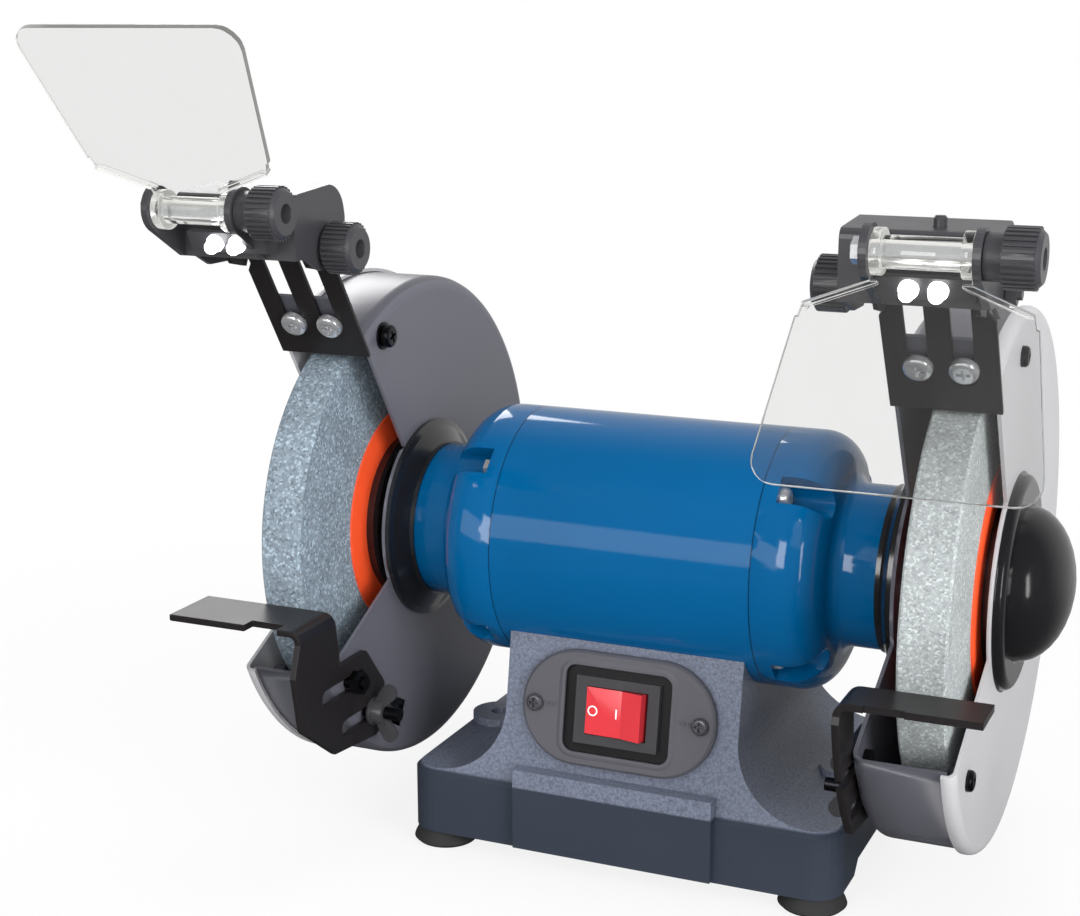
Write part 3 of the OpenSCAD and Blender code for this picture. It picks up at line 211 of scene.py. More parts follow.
def grain_group():
    """Packed angular grains with a bond between them: colour and height."""
    tree, start, end = group(
        "Abrasive grain",
        [("Body", "NodeSocketColor", (0.3, 0.3, 0.3, 1)), ("Scale", "NodeSocketFloat", 900.0),
         ("Contrast", "NodeSocketFloat", 0.5)],
        [("Colour", "NodeSocketColor"), ("Height", "NodeSocketFloat"),
         ("Gloss", "NodeSocketFloat")],
    )
    place = put(tree, "ShaderNodeTexCoord", (-5, 2))
    cells = put(tree, "ShaderNodeTexVoronoi", (-3, 2))
    join(tree, place.outputs["Object"], cells.inputs["Vector"])
    join(tree, start.outputs["Scale"], cells.inputs["Scale"])
    split = put(tree, "ShaderNodeSeparateColor", (-2, 3))
    join(tree, cells.outputs["Color"], split.inputs["Color"])
    tone = put(tree, "ShaderNodeValToRGB", (-1, 3))
    stops = tone.color_ramp.elements
    stops[0].position, stops[0].color = 0.0, (0.25, 0.25, 0.25, 1)
    stops[1].position, stops[1].color = 1.0, (1.0, 1.0, 1.0, 1)
    for where, level in ((0.18, 0.42), (0.55, 0.52), (0.82, 0.66), (0.93, 0.95)):
        extra = stops.new(where)
        extra.color = (level, level, level, 1)
    join(tree, split.outputs["Red"], tone.inputs["Fac"])
    clouds = put(tree, "ShaderNodeTexNoise", (-3, -1))
    constant(clouds, Scale=55.0, Detail=4.0, Roughness=0.6)
    join(tree, place.outputs["Object"], clouds.inputs["Vector"])
    cloud_level = put(tree, "ShaderNodeMapRange", (-2, -1))
    constant(cloud_level, From_Min=0.3, From_Max=0.7, To_Min=0.88, To_Max=1.1)
    join(tree, clouds.outputs["Fac"], cloud_level.inputs["Value"])
    lift = put(tree, "ShaderNodeMix", (0, 2), data_type="RGBA", blend_type="MULTIPLY")
    lift.inputs["Factor"].default_value = 1.0
    doubled = put(tree, "ShaderNodeVectorMath", (-0.4, 3), operation="SCALE")
    doubled.inputs["Scale"].default_value = 1.85
    join(tree, tone.outputs["Color"], doubled.inputs["Vector"])
    join(tree, start.outputs["Body"], lift.inputs["A"])
    join(tree, doubled.outputs["Vector"], lift.inputs["B"])
    blend = put(tree, "ShaderNodeMix", (1, 1), data_type="RGBA")
    join(tree, start.outputs["Contrast"], blend.inputs["Factor"])
    join(tree, start.outputs["Body"], blend.inputs["A"])
    join(tree, lift.outputs["Result"], blend.inputs["B"])
    shaded = put(tree, "ShaderNodeVectorMath", (2, 1), operation="SCALE")
    join(tree, blend.outputs["Result"], shaded.inputs["Vector"])
    join(tree, cloud_level.outputs["Result"], shaded.inputs["Scale"])
    join(tree, shaded.outputs["Vector"], end.inputs["Colour"])
    pits = put(tree, "ShaderNodeTexNoise", (-3, -3))
    constant(pits, Detail=6.0, Roughness=0.7)
    join(tree, place.outputs["Object"], pits.inputs["Vector"])
    join(tree, start.outputs["Scale"], pits.inputs["Scale"])
    rise = put(tree, "ShaderNodeMath", (0, -2), operation="MULTIPLY_ADD")
    rise.inputs[1].default_value = -0.6
    join(tree, cells.outputs["Distance"], rise.inputs[0])
    join(tree, pits.outputs["Fac"], rise.inputs[2])
    join(tree, rise.outputs["Value"], end.inputs["Height"])
    join(tree, split.outputs["Green"], end.inputs["Gloss"])
    return tree


def wear_group():
    """Slow handling marks and fine dust: a tone near 1 and a roughness."""
    tree, start, end = group(
        "Handling",
        [("Scale", "NodeSocketFloat", 30.0), ("Tone spread", "NodeSocketFloat", 0.08),
         ("Roughness", "NodeSocketFloat", 0.4), ("Roughness spread", "NodeSocketFloat", 0.1)],
        [("Tone", "NodeSocketFloat"), ("Roughness", "NodeSocketFloat")],
    )
    place = put(tree, "ShaderNodeTexCoord", (-5, 2))
    slow = put(tree, "ShaderNodeTexNoise", (-3, 2))
    constant(slow, Detail=5.0, Roughness=0.62)
    join(tree, place.outputs["Object"], slow.inputs["Vector"])
    join(tree, start.outputs["Scale"], slow.inputs["Scale"])
    centred = put(tree, "ShaderNodeMath", (-2, 2), operation="SUBTRACT")
    centred.inputs[1].default_value = 0.5
    join(tree, slow.outputs["Fac"], centred.inputs[0])
    tone = put(tree, "ShaderNodeMath", (0, 2), operation="MULTIPLY_ADD")
    tone.inputs[2].default_value = 1.0
    join(tree, centred.outputs["Value"], tone.inputs[0])
    join(tree, start.outputs["Tone spread"], tone.inputs[1])
    join(tree, tone.outputs["Value"], end.inputs["Tone"])
    rough = put(tree, "ShaderNodeMath", (0, -1), operation="MULTIPLY_ADD", use_clamp=True)
    join(tree, centred.outputs["Value"], rough.inputs[0])
    join(tree, start.outputs["Roughness spread"], rough.inputs[1])
    join(tree, start.outputs["Roughness"], rough.inputs[2])
    join(tree, rough.outputs["Value"], end.inputs["Roughness"])
    return tree


def hammer_group():
    """Hammered enamel: rounded blisters with darker creases."""
    tree, start, end = group(
        "Hammered",
        [("Scale", "NodeSocketFloat", 420.0)],
        [("Tone", "NodeSocketFloat"), ("Height", "NodeSocketFloat")],
    )
    place = put(tree, "ShaderNodeTexCoord", (-5, 2))
    wobble = put(tree, "ShaderNodeTexNoise", (-4, 1))
    constant(wobble, Scale=420.0, Detail=3.0)
    join(tree, place.outputs["Object"], wobble.inputs["Vector"])
    bend = put(tree, "ShaderNodeVectorMath", (-3, 2), operation="MULTIPLY_ADD")
    bend.inputs[1].default_value = (0.0016, 0.0016, 0.0016)
    join(tree, wobble.outputs["Color"], bend.inputs[0])
    join(tree, place.outputs["Object"], bend.inputs[2])
    cells = put(tree, "ShaderNodeTexVoronoi", (-2, 2), feature="SMOOTH_F1")
    constant(cells, Smoothness=0.7)
    join(tree, bend.outputs["Vector"], cells.inputs["Vector"])
    join(tree, start.outputs["Scale"], cells.inputs["Scale"])
    dust = put(tree, "ShaderNodeTexNoise", (-2, -1))
    constant(dust, Scale=2200.0, Detail=2.0)
    join(tree, place.outputs["Object"], dust.inputs["Vector"])
    tone = put(tree, "ShaderNodeMapRange", (0, 2))
    constant(tone, From_Min=0.1, From_Max=0.75, To_Min=1.22, To_Max=0.72)
    join(tree, cells.outputs["Distance"], tone.inputs["Value"])
    both = put(tree, "ShaderNodeMath", (1, 1), operation="MULTIPLY")
    sparkle = put(tree, "ShaderNodeMapRange", (0, -1))
    constant(sparkle, From_Min=0.35, From_Max=0.65, To_Min=0.85, To_Max=1.15)
    join(tree, dust.outputs["Fac"], sparkle.inputs["Value"])
    join(tree, tone.outputs["Result"], both.inputs[0])
    join(tree, sparkle.outputs["Result"], both.inputs[1])
    join(tree, both.outputs["Value"], end.inputs["Tone"])
    join(tree, cells.outputs["Distance"], end.inputs["Height"])
    return tree


def band_group():
    """A soft-edged mask where a value lies between two limits."""
    tree, start, end = group(
        "Between",
        [("Value", "NodeSocketFloat", 0.0), ("Low", "NodeSocketFloat", 0.0),
         ("High", "NodeSocketFloat", 1.0), ("Edge", "NodeSocketFloat", 0.0002)],
        [("Mask", "NodeSocketFloat")],
    )
    above = put(tree, "ShaderNodeMath", (-3, 1), operation="SUBTRACT")
    below = put(tree, "ShaderNodeMath", (-3, -1), operation="SUBTRACT")
    join(tree, start.outputs["Value"], above.inputs[0])
    join(tree, start.outputs["Low"], above.inputs[1])
    join(tree, start.outputs["High"], below.inputs[0])
    join(tree, start.outputs["Value"], below.inputs[1])
    nearest = put(tree, "ShaderNodeMath", (-1, 0), operation="MINIMUM")
    join(tree, above.outputs["Value"], nearest.inputs[0])
    join(tree, below.outputs["Value"], nearest.inputs[1])
    soft = put(tree, "ShaderNodeMath", (0, 0), operation="DIVIDE", use_clamp=True)
    join(tree, nearest.outputs["Value"], soft.inputs[0])
    join(tree, start.outputs["Edge"], soft.inputs[1])
    join(tree, soft.outputs["Value"], end.inputs["Mask"])
    return tree


def spindle_group():
    """Distance from the spindle line and distance along it from the middle."""
    tree, start, end = group(
        "Spindle distance",
        [("Height", "NodeSocketFloat", SPINDLE.z), ("Depth", "NodeSocketFloat", SPINDLE.y)],
        [("Radius", "NodeSocketFloat"), ("Along", "NodeSocketFloat")],
    )
    place = put(tree, "ShaderNodeTexCoord", (-5, 2))
    split = put(tree, "ShaderNodeSeparateXYZ", (-4, 2))
    join(tree, place.outputs["Object"], split.inputs["Vector"])
    along = put(tree, "ShaderNodeMath", (0, 2), operation="ABSOLUTE")
    join(tree, split.outputs["X"], along.inputs[0])
    join(tree, along.outputs["Value"], end.inputs["Along"])
    dy = put(tree, "ShaderNodeMath", (-3, 1), operation="SUBTRACT")
    dz = put(tree, "ShaderNodeMath", (-3, -1), operation="SUBTRACT")
    join(tree, split.outputs["Y"], dy.inputs[0])
    join(tree, start.outputs["Depth"], dy.inputs[1])
    join(tree, split.outputs["Z"], dz.inputs[0])
    join(tree, start.outputs["Height"], dz.inputs[1])
    flat = put(tree, "ShaderNodeCombineXYZ", (-2, 0))
    join(tree, dy.outputs["Value"], flat.inputs["X"])
    join(tree, dz.outputs["Value"], flat.inputs["Y"])
    size = put(tree, "ShaderNodeVectorMath", (-1, 0), operation="LENGTH")
    join(tree, flat.outputs["Vector"], size.inputs[0])
    join(tree, size.outputs["Value"], end.inputs["Radius"])
    return tree


MAKERS = {
    "grain": grain_group,
    "wear": wear_group,
    "hammer": hammer_group,
    "band": band_group,
    "spindle": spindle_group,
}
GROUPS = {}


def shared(name):
    """The named node group, built on first use."""
    if name not in GROUPS:
        GROUPS[name] = MAKERS[name]()
    return GROUPS[name]


def use(tree, name, at, **values):
    """Places a shared group and sets its inputs."""
    made = put(tree, "ShaderNodeGroup", at)
    made.node_tree = shared(name)
    constant(made, **values)
    return made


def material(name):
    """A new material with a Principled surface: the material, its tree and the surface node."""
    made = bpy.data.materials.new(name)
    made.use_nodes = True
    return made, made.node_tree, made.node_tree.nodes["Principled BSDF"]


def scaled(tree, colour, tone, at):
    """A plain colour times a varying tone."""
    made = put(tree, "ShaderNodeVectorMath", at, operation="SCALE")
    made.inputs["Vector"].default_value = colour
    join(tree, tone, made.inputs["Scale"])
    return made.outputs["Vector"]


def mixed(tree, mask, low, high, at):
    """Blend of two colour sockets or constants by a mask."""
    made = put(tree, "ShaderNodeMix", at, data_type="RGBA")
    join(tree, mask, made.inputs["Factor"])
    for side, value in (("A", low), ("B", high)):
        if isinstance(value, bpy.types.NodeSocket):
            join(tree, value, made.inputs[side])
        else:
            made.inputs[side].default_value = (*value, 1)
    return made.outputs["Result"]


def blend_value(tree, mask, low, high, at):
    """Blend of two numbers by a mask."""
    made = put(tree, "ShaderNodeMapRange", at)
    constant(made, To_Min=low, To_Max=high)
    join(tree, mask, made.inputs["Value"])
    return made.outputs["Result"]


def bumped(tree, surface, height, strength, distance, at=(-1, -3)):
    """Feeds a height to the surface's normal."""
    made = put(tree, "ShaderNodeBump", at)
    constant(made, Strength=strength, Distance=distance)
    join(tree, height, made.inputs["Height"])
    join(tree, made.outputs["Normal"], surface.inputs["Normal"])
    return made


def noise(tree, scale, detail, at, stretch=None):
    """Noise in object space, stretched along an axis if asked."""
    place = put(tree, "ShaderNodeTexCoord", (at[0] - 2, at[1]))
    source = place.outputs["Object"]
    if stretch:
        turn = put(tree, "ShaderNodeMapping", (at[0] - 1, at[1]))
        turn.inputs["Scale"].default_value = stretch
        join(tree, source, turn.inputs["Vector"])
        source = turn.outputs["Vector"]
    made = put(tree, "ShaderNodeTexNoise", at)
    constant(made, Scale=scale, Detail=detail)
    join(tree, source, made.inputs["Vector"])
    return made.outputs["Fac"]


def reflected(tree, path, at):
    """1 for a ray that left by reflection, 0 for one that went through a clear part."""
    made = put(tree, "ShaderNodeMath", at, operation="SUBTRACT", use_clamp=True)
    join(tree, path.outputs["Is Glossy Ray"], made.inputs[0])
    join(tree, path.outputs["Is Transmission Ray"], made.inputs[1])
    return made.outputs["Value"]


def looked_at(tree, path, at):
    """1 for a ray from the camera, straight or through a clear part."""
    made = put(tree, "ShaderNodeMath", at, operation="MAXIMUM")
    join(tree, path.outputs["Is Camera Ray"], made.inputs[0])
    join(tree, path.outputs["Is Transmission Ray"], made.inputs[1])
    return made.outputs["Value"]


def soft_step(tree, value, limits, levels, at):
    """A smooth ramp from one level to another between two limits."""
    made = put(tree, "ShaderNodeMapRange", at, interpolation_type="SMOOTHSTEP")
    constant(made, From_Min=limits[0], From_Max=limits[1], To_Min=levels[0], To_Max=levels[1])
    join(tree, value, made.inputs["Value"])
    return made.outputs["Result"]


def dress(made, *nodes):
    """Gives a material to machine parts by name."""
    for name in nodes:
        slots = NODES[name].data.materials
        slots.clear()
        slots.append(made)


# ---------------------------------------------------------------- finishes

def enamel(name, colour, rough=0.25, spread=0.1, coat=0.5, peel=0.05, shine=0.5):
    """Sprayed gloss or satin enamel with a fine orange peel."""
    made, tree, surface = material(name)
    wear = use(tree, "wear", (-4, 1),
               Scale=22.0, Tone_spread=0.16, Roughness=rough, Roughness_spread=spread)
    join(tree, scaled(tree, colour, wear.outputs["Tone"], (-2, 1)), surface.inputs["Base Color"])
    join(tree, wear.outputs["Roughness"], surface.inputs["Roughness"])
    constant(surface, Coat_Weight=coat, Coat_Roughness=0.12, Specular_IOR_Level=shine)
    bumped(tree, surface, noise(tree, 750.0, 3.0, (-3, -3)), peel, 0.0004)
    return made, tree, surface


def motor_enamel(colour):
    """Gloss enamel with the dark joint lines of the end bells."""
    made, tree, surface = enamel(
        "Motor enamel", colour, rough=0.08, spread=0.05, coat=0.0, peel=0.02, shine=0.45
    )
    where = use(tree, "spindle", (-5, 3))
    seam = use(tree, "band", (-4, 3),
               Low=BELL_SEAM - SEAM_HALF, High=BELL_SEAM + SEAM_HALF, Edge=0.00025)
    join(tree, where.outputs["Along"], seam.inputs["Value"])
    painted = surface.inputs["Base Color"].links[0].from_socket
    dark = mixed(tree, seam.outputs["Mask"], painted, tuple(c * 0.25 for c in colour), (-1, 3))
    join(tree, dark, surface.inputs["Base Color"])
    return made


def base_enamel(hammered, plain):
    """Hammered enamel on the pedestal and deck, smoother and darker on the skirt."""
    made, tree, surface = material("Base enamel")
    blisters = use(tree, "hammer", (-4, 1), Scale=820.0)
    wear = use(tree, "wear", (-4, -1),
               Scale=18.0, Tone_spread=0.12, Roughness=0.36, Roughness_spread=0.12)
    place = put(tree, "ShaderNodeTexCoord", (-6, 3))
    split = put(tree, "ShaderNodeSeparateXYZ", (-5, 3))
    join(tree, place.outputs["Object"], split.inputs["Vector"])
    upper = use(tree, "band", (-4, 3), Low=PAINT_BREAK, High=1.0, Edge=0.001)
    join(tree, split.outputs["Z"], upper.inputs["Value"])
    rough = scaled(tree, hammered, blisters.outputs["Tone"], (-2, 1))
    smooth = scaled(tree, plain, wear.outputs["Tone"], (-2, 0))
    both = mixed(tree, upper.outputs["Mask"], smooth, rough, (-1, 1))
    join(tree, both, surface.inputs["Base Color"])
    join(tree, wear.outputs["Roughness"], surface.inputs["Roughness"])
    constant(surface, Specular_IOR_Level=0.3)
    depth = put(tree, "ShaderNodeMath", (-2, -3), operation="MULTIPLY")
    level = blend_value(tree, upper.outputs["Mask"], 0.15, 1.0, (-3, -3))
    join(tree, blisters.outputs["Height"], depth.inputs[0])
    join(tree, level, depth.inputs[1])
    bumped(tree, surface, depth.outputs["Value"], 0.3, 0.0004)
    return made


def guard_enamel(name, plate, dark, low, high, gloss_in):
    """Satin plate with a second colour between two radii."""
    made, tree, surface = enamel(
        name, plate, rough=0.38, spread=0.12, coat=0.0, peel=0.06, shine=0.65
    )
    where = use(tree, "spindle", (-5, 3))
    ring = use(tree, "band", (-4, 3), Low=low, High=high, Edge=0.0004)
    join(tree, where.outputs["Radius"], ring.inputs["Value"])
    painted = surface.inputs["Base Color"].links[0].from_socket
    both = mixed(tree, ring.outputs["Mask"], painted, dark, (-1, 3))
    join(tree, both, surface.inputs["Base Color"])
    gloss = put(tree, "ShaderNodeMath", (-1, 2), operation="MULTIPLY")
    rough = surface.inputs["Roughness"].links[0].from_socket
    join(tree, rough, gloss.inputs[0])
    join(tree, blend_value(tree, ring.outputs["Mask"], 1.0, gloss_in, (-2, 2)), gloss.inputs[1])
    join(tree, gloss.outputs["Value"], surface.inputs["Roughness"])
    return made


def switch_enamel_and_well_shade(colour, dark):
    """Satin plate whose sunken well is coloured black below its rim as painted shade."""
    made, tree, surface = enamel(
        "Switch plate enamel", colour, rough=0.38, spread=0.12, coat=0.0, peel=0.08, shine=0.4
    )
    place = put(tree, "ShaderNodeTexCoord", (-8, 4))
    split = put(tree, "ShaderNodeSeparateXYZ", (-7, 5))
    join(tree, place.outputs["Object"], split.inputs["Vector"])
    wide = use(tree, "band", (-5, 5), Low=-WELL_HALF_W, High=WELL_HALF_W, Edge=0.0001)
    join(tree, split.outputs["X"], wide.inputs["Value"])
    masks = [wide.outputs["Mask"]]
    up = Vector((0.0, math.sin(FRONT_LEAN), math.cos(FRONT_LEAN)))
    out = Vector((0.0, -math.cos(FRONT_LEAN), math.sin(FRONT_LEAN)))
    limits = ((up, -WELL_HALF_H, WELL_HALF_H), (out, -1.0, WELL_RIM))
    for row, (line, low, high) in enumerate(limits):
        reach = put(tree, "ShaderNodeVectorMath", (-6, 3 - row), operation="DOT_PRODUCT")
        reach.inputs[1].default_value = line
        join(tree, place.outputs["Object"], reach.inputs[0])
        middle = line.dot(SWITCH_CENTRE)
        inside = use(tree, "band", (-5, 3 - row), Low=middle + low, High=middle + high, Edge=0.0001)
        join(tree, reach.outputs["Value"], inside.inputs["Value"])
        masks.append(inside.outputs["Mask"])
    well = masks[0]
    for row, other in enumerate(masks[1:]):
        both = put(tree, "ShaderNodeMath", (-3 + row, 4), operation="MULTIPLY")
        join(tree, well, both.inputs[0])
        join(tree, other, both.inputs[1])
        well = both.outputs["Value"]
    # Painted shade: the sunken well below its rim takes the near-black colour `dark`.
    painted = surface.inputs["Base Color"].links[0].from_socket
    join(tree, mixed(tree, well, painted, dark, (0, 3)), surface.inputs["Base Color"])
    return made


def stone(name, colour, grain, contrast):
    """Vitrified abrasive."""
    made, tree, surface = material(name)
    grains = use(tree, "grain", (-4, 1), Body=(*colour, 1), Scale=1.0 / grain, Contrast=contrast)
    join(tree, grains.outputs["Colour"], surface.inputs["Base Color"])
    rough = blend_value(tree, grains.outputs["Gloss"], 0.95, 0.62, (-2, 0))
    join(tree, rough, surface.inputs["Roughness"])
    bumped(tree, surface, grains.outputs["Height"], 0.55, 0.0005)
    return made


def plated(name, colour, rough, scratch=(900.0, 60.0, 900.0), haze=0.0):
    """Bright or blackened steel with fine turning marks."""
    made, tree, surface = material(name)
    wear = use(tree, "wear", (-4, 1),
               Scale=160.0, Tone_spread=0.25, Roughness=rough, Roughness_spread=0.25)
    join(tree, scaled(tree, colour, wear.outputs["Tone"], (-2, 1)), surface.inputs["Base Color"])
    join(tree, wear.outputs["Roughness"], surface.inputs["Roughness"])
    constant(surface, Metallic=1.0 - haze)
    bumped(tree, surface, noise(tree, 3.0, 4.0, (-3, -3), scratch), 0.08, 0.0003)
    return made


def moulded(name, colour, rough, coat=0.0):
    """Moulded plastic or rubber with a fine spark-eroded grain."""
    made, tree, surface = material(name)
    wear = use(tree, "wear", (-4, 1),
               Scale=60.0, Tone_spread=0.2, Roughness=rough, Roughness_spread=0.16)
    join(tree, scaled(tree, colour, wear.outputs["Tone"], (-2, 1)), surface.inputs["Base Color"])
    join(tree, wear.outputs["Roughness"], surface.inputs["Roughness"])
    constant(surface, Coat_Weight=coat, Coat_Roughness=0.1)
    bumped(tree, surface, noise(tree, 1900.0, 2.0, (-3, -3)), 0.12, 0.0002)
    return made


EDGE_PAINTED_GLOW = (0.22, 0.22, 0.21)  # painted glow given off at a clear sheet's cut edge, though the sheet is no lamp


def clear(name, colour, edge, across):
    """Clear sheet with faint wiping marks and frosted sawn edges, where it turns from `across`; the
    sawn edges carry a painted glow.
    """
    made, tree, surface = material(name)
    wear = use(tree, "wear", (-5, 1),
               Scale=45.0, Tone_spread=0.03, Roughness=0.004, Roughness_spread=0.008)
    place = put(tree, "ShaderNodeTexCoord", (-6, -1))
    facing = put(tree, "ShaderNodeVectorMath", (-5, -1), operation="DOT_PRODUCT")
    facing.inputs[1].default_value = across
    join(tree, place.outputs["Normal"], facing.inputs[0])
    size = put(tree, "ShaderNodeMath", (-4, -1), operation="ABSOLUTE")
    join(tree, facing.outputs["Value"], size.inputs[0])
    sawn = put(tree, "ShaderNodeMath", (-3, -1), operation="LESS_THAN")
    sawn.inputs[1].default_value = 0.5
    join(tree, size.outputs["Value"], sawn.inputs[0])
    sheet = scaled(tree, colour, wear.outputs["Tone"], (-3, 1))
    both = mixed(tree, sawn.outputs["Value"], sheet, edge, (-2, 1))
    join(tree, both, surface.inputs["Base Color"])
    rough = put(tree, "ShaderNodeMath", (-2, 0), operation="MULTIPLY_ADD", use_clamp=True)
    rough.inputs[1].default_value = 0.3
    join(tree, sawn.outputs["Value"], rough.inputs[0])
    join(tree, wear.outputs["Roughness"], rough.inputs[2])
    join(tree, rough.outputs["Value"], surface.inputs["Roughness"])
    # Painted glow: the sawn edges give off light though they are no lamp.
    painted_glow = mixed(tree, sawn.outputs["Value"], (0.0, 0.0, 0.0), EDGE_PAINTED_GLOW, (-2, -3))
    join(tree, painted_glow, surface.inputs["Emission Color"])
    constant(surface, Transmission_Weight=1.0, IOR=1.49, Emission_Strength=1.0)
    return made


def glowing(name, power):
    """Lit lamp lens with a faint speckle in its glow."""
    made, tree, surface = material(name)
    speck = noise(tree, 500.0, 2.0, (-3, 1))
    shade = put(tree, "ShaderNodeMapRange", (-2, 1))
    constant(shade, From_Min=0.3, From_Max=0.7, To_Min=0.92, To_Max=1.0)
    join(tree, speck, shade.inputs["Value"])
    glow = scaled(tree, (0.98, 0.99, 1.0), shade.outputs["Result"], (-1, 1))
    join(tree, glow, surface.inputs["Emission Color"])
    constant(surface, Roughness=0.1, Coat_Weight=0.6, Coat_Roughness=0.05, Emission_Strength=power)
    return made


# ---------------------------------------------------------------- modelling helpers

def only(target):
    """Selects one object and makes it active."""
    bpy.ops.object.select_all(action="DESELECT")
    target.select_set(True)
    bpy.context.view_layer.objects.active = target


def settle(target, matrix):
    """Moves a finished mesh to its place and leaves its object at the origin."""
    target.data.transform(matrix @ target.matrix_world)
    target.matrix_world = Matrix.Identity(4)
    target.data.update()


def rocker_face(x):
    """Place on the rocker's front face at a distance left or right of its middle."""
    pivot = Matrix.Translation((0, 0, ROCKER_PIVOT)) @ Matrix.Rotation(-ROCKER_TILT, 4, "Y")
    left = x < VALLEY
    slope = math.atan2(FACE_RISE, LEFT_FACE_L if left else RIGHT_FACE_L)
    height = VALLEY_HEIGHT + abs(x - VALLEY) * math.tan(slope)
    lean = slope if left else -slope
    return PLATE @ pivot @ Matrix.Translation((x, 0, height)) @ Matrix.Rotation(lean, 4, "Y")


# ---------------------------------------------------------------- operators

class GRINDER_OT_paint(bpy.types.Operator):
    """Paint the motor, base, guards and brackets"""

    bl_idname = "grinder.paint"
    bl_label = "Paint metal"

    def execute(self, context):
        hues = context.scene.grinder_paint
        dress(motor_enamel(tuple(hues.motor)), "motor_barrel", "left_end_bell", "right_end_bell")
        dress(base_enamel(tuple(hues.base), tuple(hues.skirt)), "base_casting")
        # The switch plate's second colour is painted shade in its sunken well.
        dress(switch_enamel_and_well_shade((0.07, 0.069, 0.081), (0.007, 0.007, 0.008)), "switch_plate")
        # Painted shade: the rim band beyond GUARD_RIM_R is the plate's own paint, coloured darker.
        rim = tuple(c * 0.68 for c in hues.guard)
        body = guard_enamel(
            "Guard enamel", tuple(hues.guard), rim, low=GUARD_RIM_R, high=1.0, gloss_in=0.9
        )
        dress(body, "left_guard_body", "right_guard_body")
        # Covers: light grey outside CAP_STEP_R is dark paint lightened as painted reflection; the
        # black field inside is the cap's own colour.
        field = (0.006, 0.006, 0.007)
        cover = guard_enamel(
            "Cover enamel", tuple(hues.cover), field, low=-1.0, high=CAP_STEP_R, gloss_in=0.4
        )
        dress(cover, "left_guard_cover", "right_guard_cover")
        black, _, _ = enamel(
            "Black powder coat", tuple(hues.black), rough=0.34, spread=0.14, coat=0.0, peel=0.1,
            shine=0.3
        )
        dress(black, "left_spark_plate", "right_spark_plate", "left_tool_rest", "right_tool_rest")
        gloss, _, _ = enamel(
            "Black gloss enamel", (0.007, 0.007, 0.008), rough=0.18, coat=0.4, peel=0.04
        )
        dress(gloss, "guard_mount_rings", "inner_flanges", "outer_flanges")
        return {"FINISHED"}


class GRINDER_OT_stones(bpy.types.Operator):
    """Finish the wheels and their paper washers"""

    bl_idname = "grinder.stones"
    bl_label = "Finish wheels"

    def execute(self, context):
        look = context.scene.grinder_stone
        coarse = stone("Coarse abrasive", tuple(look.coarse), look.coarse_grain, contrast=0.85)
        fine = stone("Fine abrasive", tuple(look.fine), look.fine_grain, contrast=0.58)
        dress(coarse, "left_wheel")
        dress(fine, "right_wheel")
        paper, _, _ = enamel("Washer paper", tuple(look.washer), rough=0.42, coat=0.15)
        dress(paper, "paper_washers")
        return {"FINISHED"}


class GRINDER_OT_steel(bpy.types.Operator):
    """Finish screws, shafts and the motor's inner metal"""

    bl_idname = "grinder.steel"
    bl_label = "Finish steel"

    def execute(self, context):
        zinc = plated("Zinc plate", (0.74, 0.75, 0.77), rough=0.2, haze=0.18)
        dress(zinc, "bottom_plate", "foot_screws", "tie_bolts", "cradle_screws",
              "guard_mount_screws", "spark_plate_screws", "spindle_nuts", "left_hinge_bolt",
              "right_hinge_bolt")
        dress(plated("Ground steel", (0.56, 0.56, 0.58), rough=0.22),
              "shaft", "bearing_outer_rings", "bearing_inner_rings", "bearing_balls")
        dress(plated("Blackened steel", (0.035, 0.035, 0.04), rough=0.36),
              "guard_cover_screws", "rest_bolts")
        dress(plated("Dull screws", (0.13, 0.13, 0.145), rough=0.28, haze=0.25), "switch_screws")
        sheets = (60.0, 2500.0, 2500.0)
        dress(plated("Core sheets", (0.28, 0.28, 0.3), rough=0.5, scratch=sheets),
              "stator_core", "rotor_core")
        wires = (300.0, 2000.0, 2000.0)
        dress(plated("Copper winding", (0.72, 0.32, 0.14), rough=0.35, scratch=wires),
              "stator_windings")
        dress(plated("Capacitor can", (0.7, 0.7, 0.72), rough=0.34), "capacitor")
        return {"FINISHED"}


class GRINDER_OT_trim(bpy.types.Operator):
    """Finish plastics, rubber, lamps and visors"""

    bl_idname = "grinder.trim"
    bl_label = "Finish plastics"

    def execute(self, context):
        look = context.scene.grinder_trim
        plastic = moulded("Black plastic", tuple(look.plastic), rough=0.36, coat=0.1)
        parts = ("lamp_housing", "lamp_button", "arm_knob", "visor_knob", "rest_knob")
        dress(plastic, "cable_gland", "switch_body",
              *(f"{side}_{part}" for side in SIDES for part in parts))
        dress(moulded("Rubber", (0.018, 0.018, 0.019), rough=0.72), "rubber_feet")
        dress(moulded("Red plastic", tuple(look.rocker), rough=0.16, coat=0.5), "switch_rocker")
        dress(moulded("Cell jacket", (0.2, 0.2, 0.22), rough=0.35),
              "left_lamp_cells", "right_lamp_cells")
        edge = (0.5, 0.49, 0.47)
        for side, lean in zip(SIDES, (LEFT_VISOR, RIGHT_VISOR)):
            across = (0.0, -math.sin(lean), math.cos(lean))
            dress(clear(f"Clear sheet {side}", tuple(look.visor), edge, across), f"{side}_visor")
        dress(glowing("Lamp lens", look.lamp_power), "left_lamp", "right_lamp")
        return {"FINISHED"}


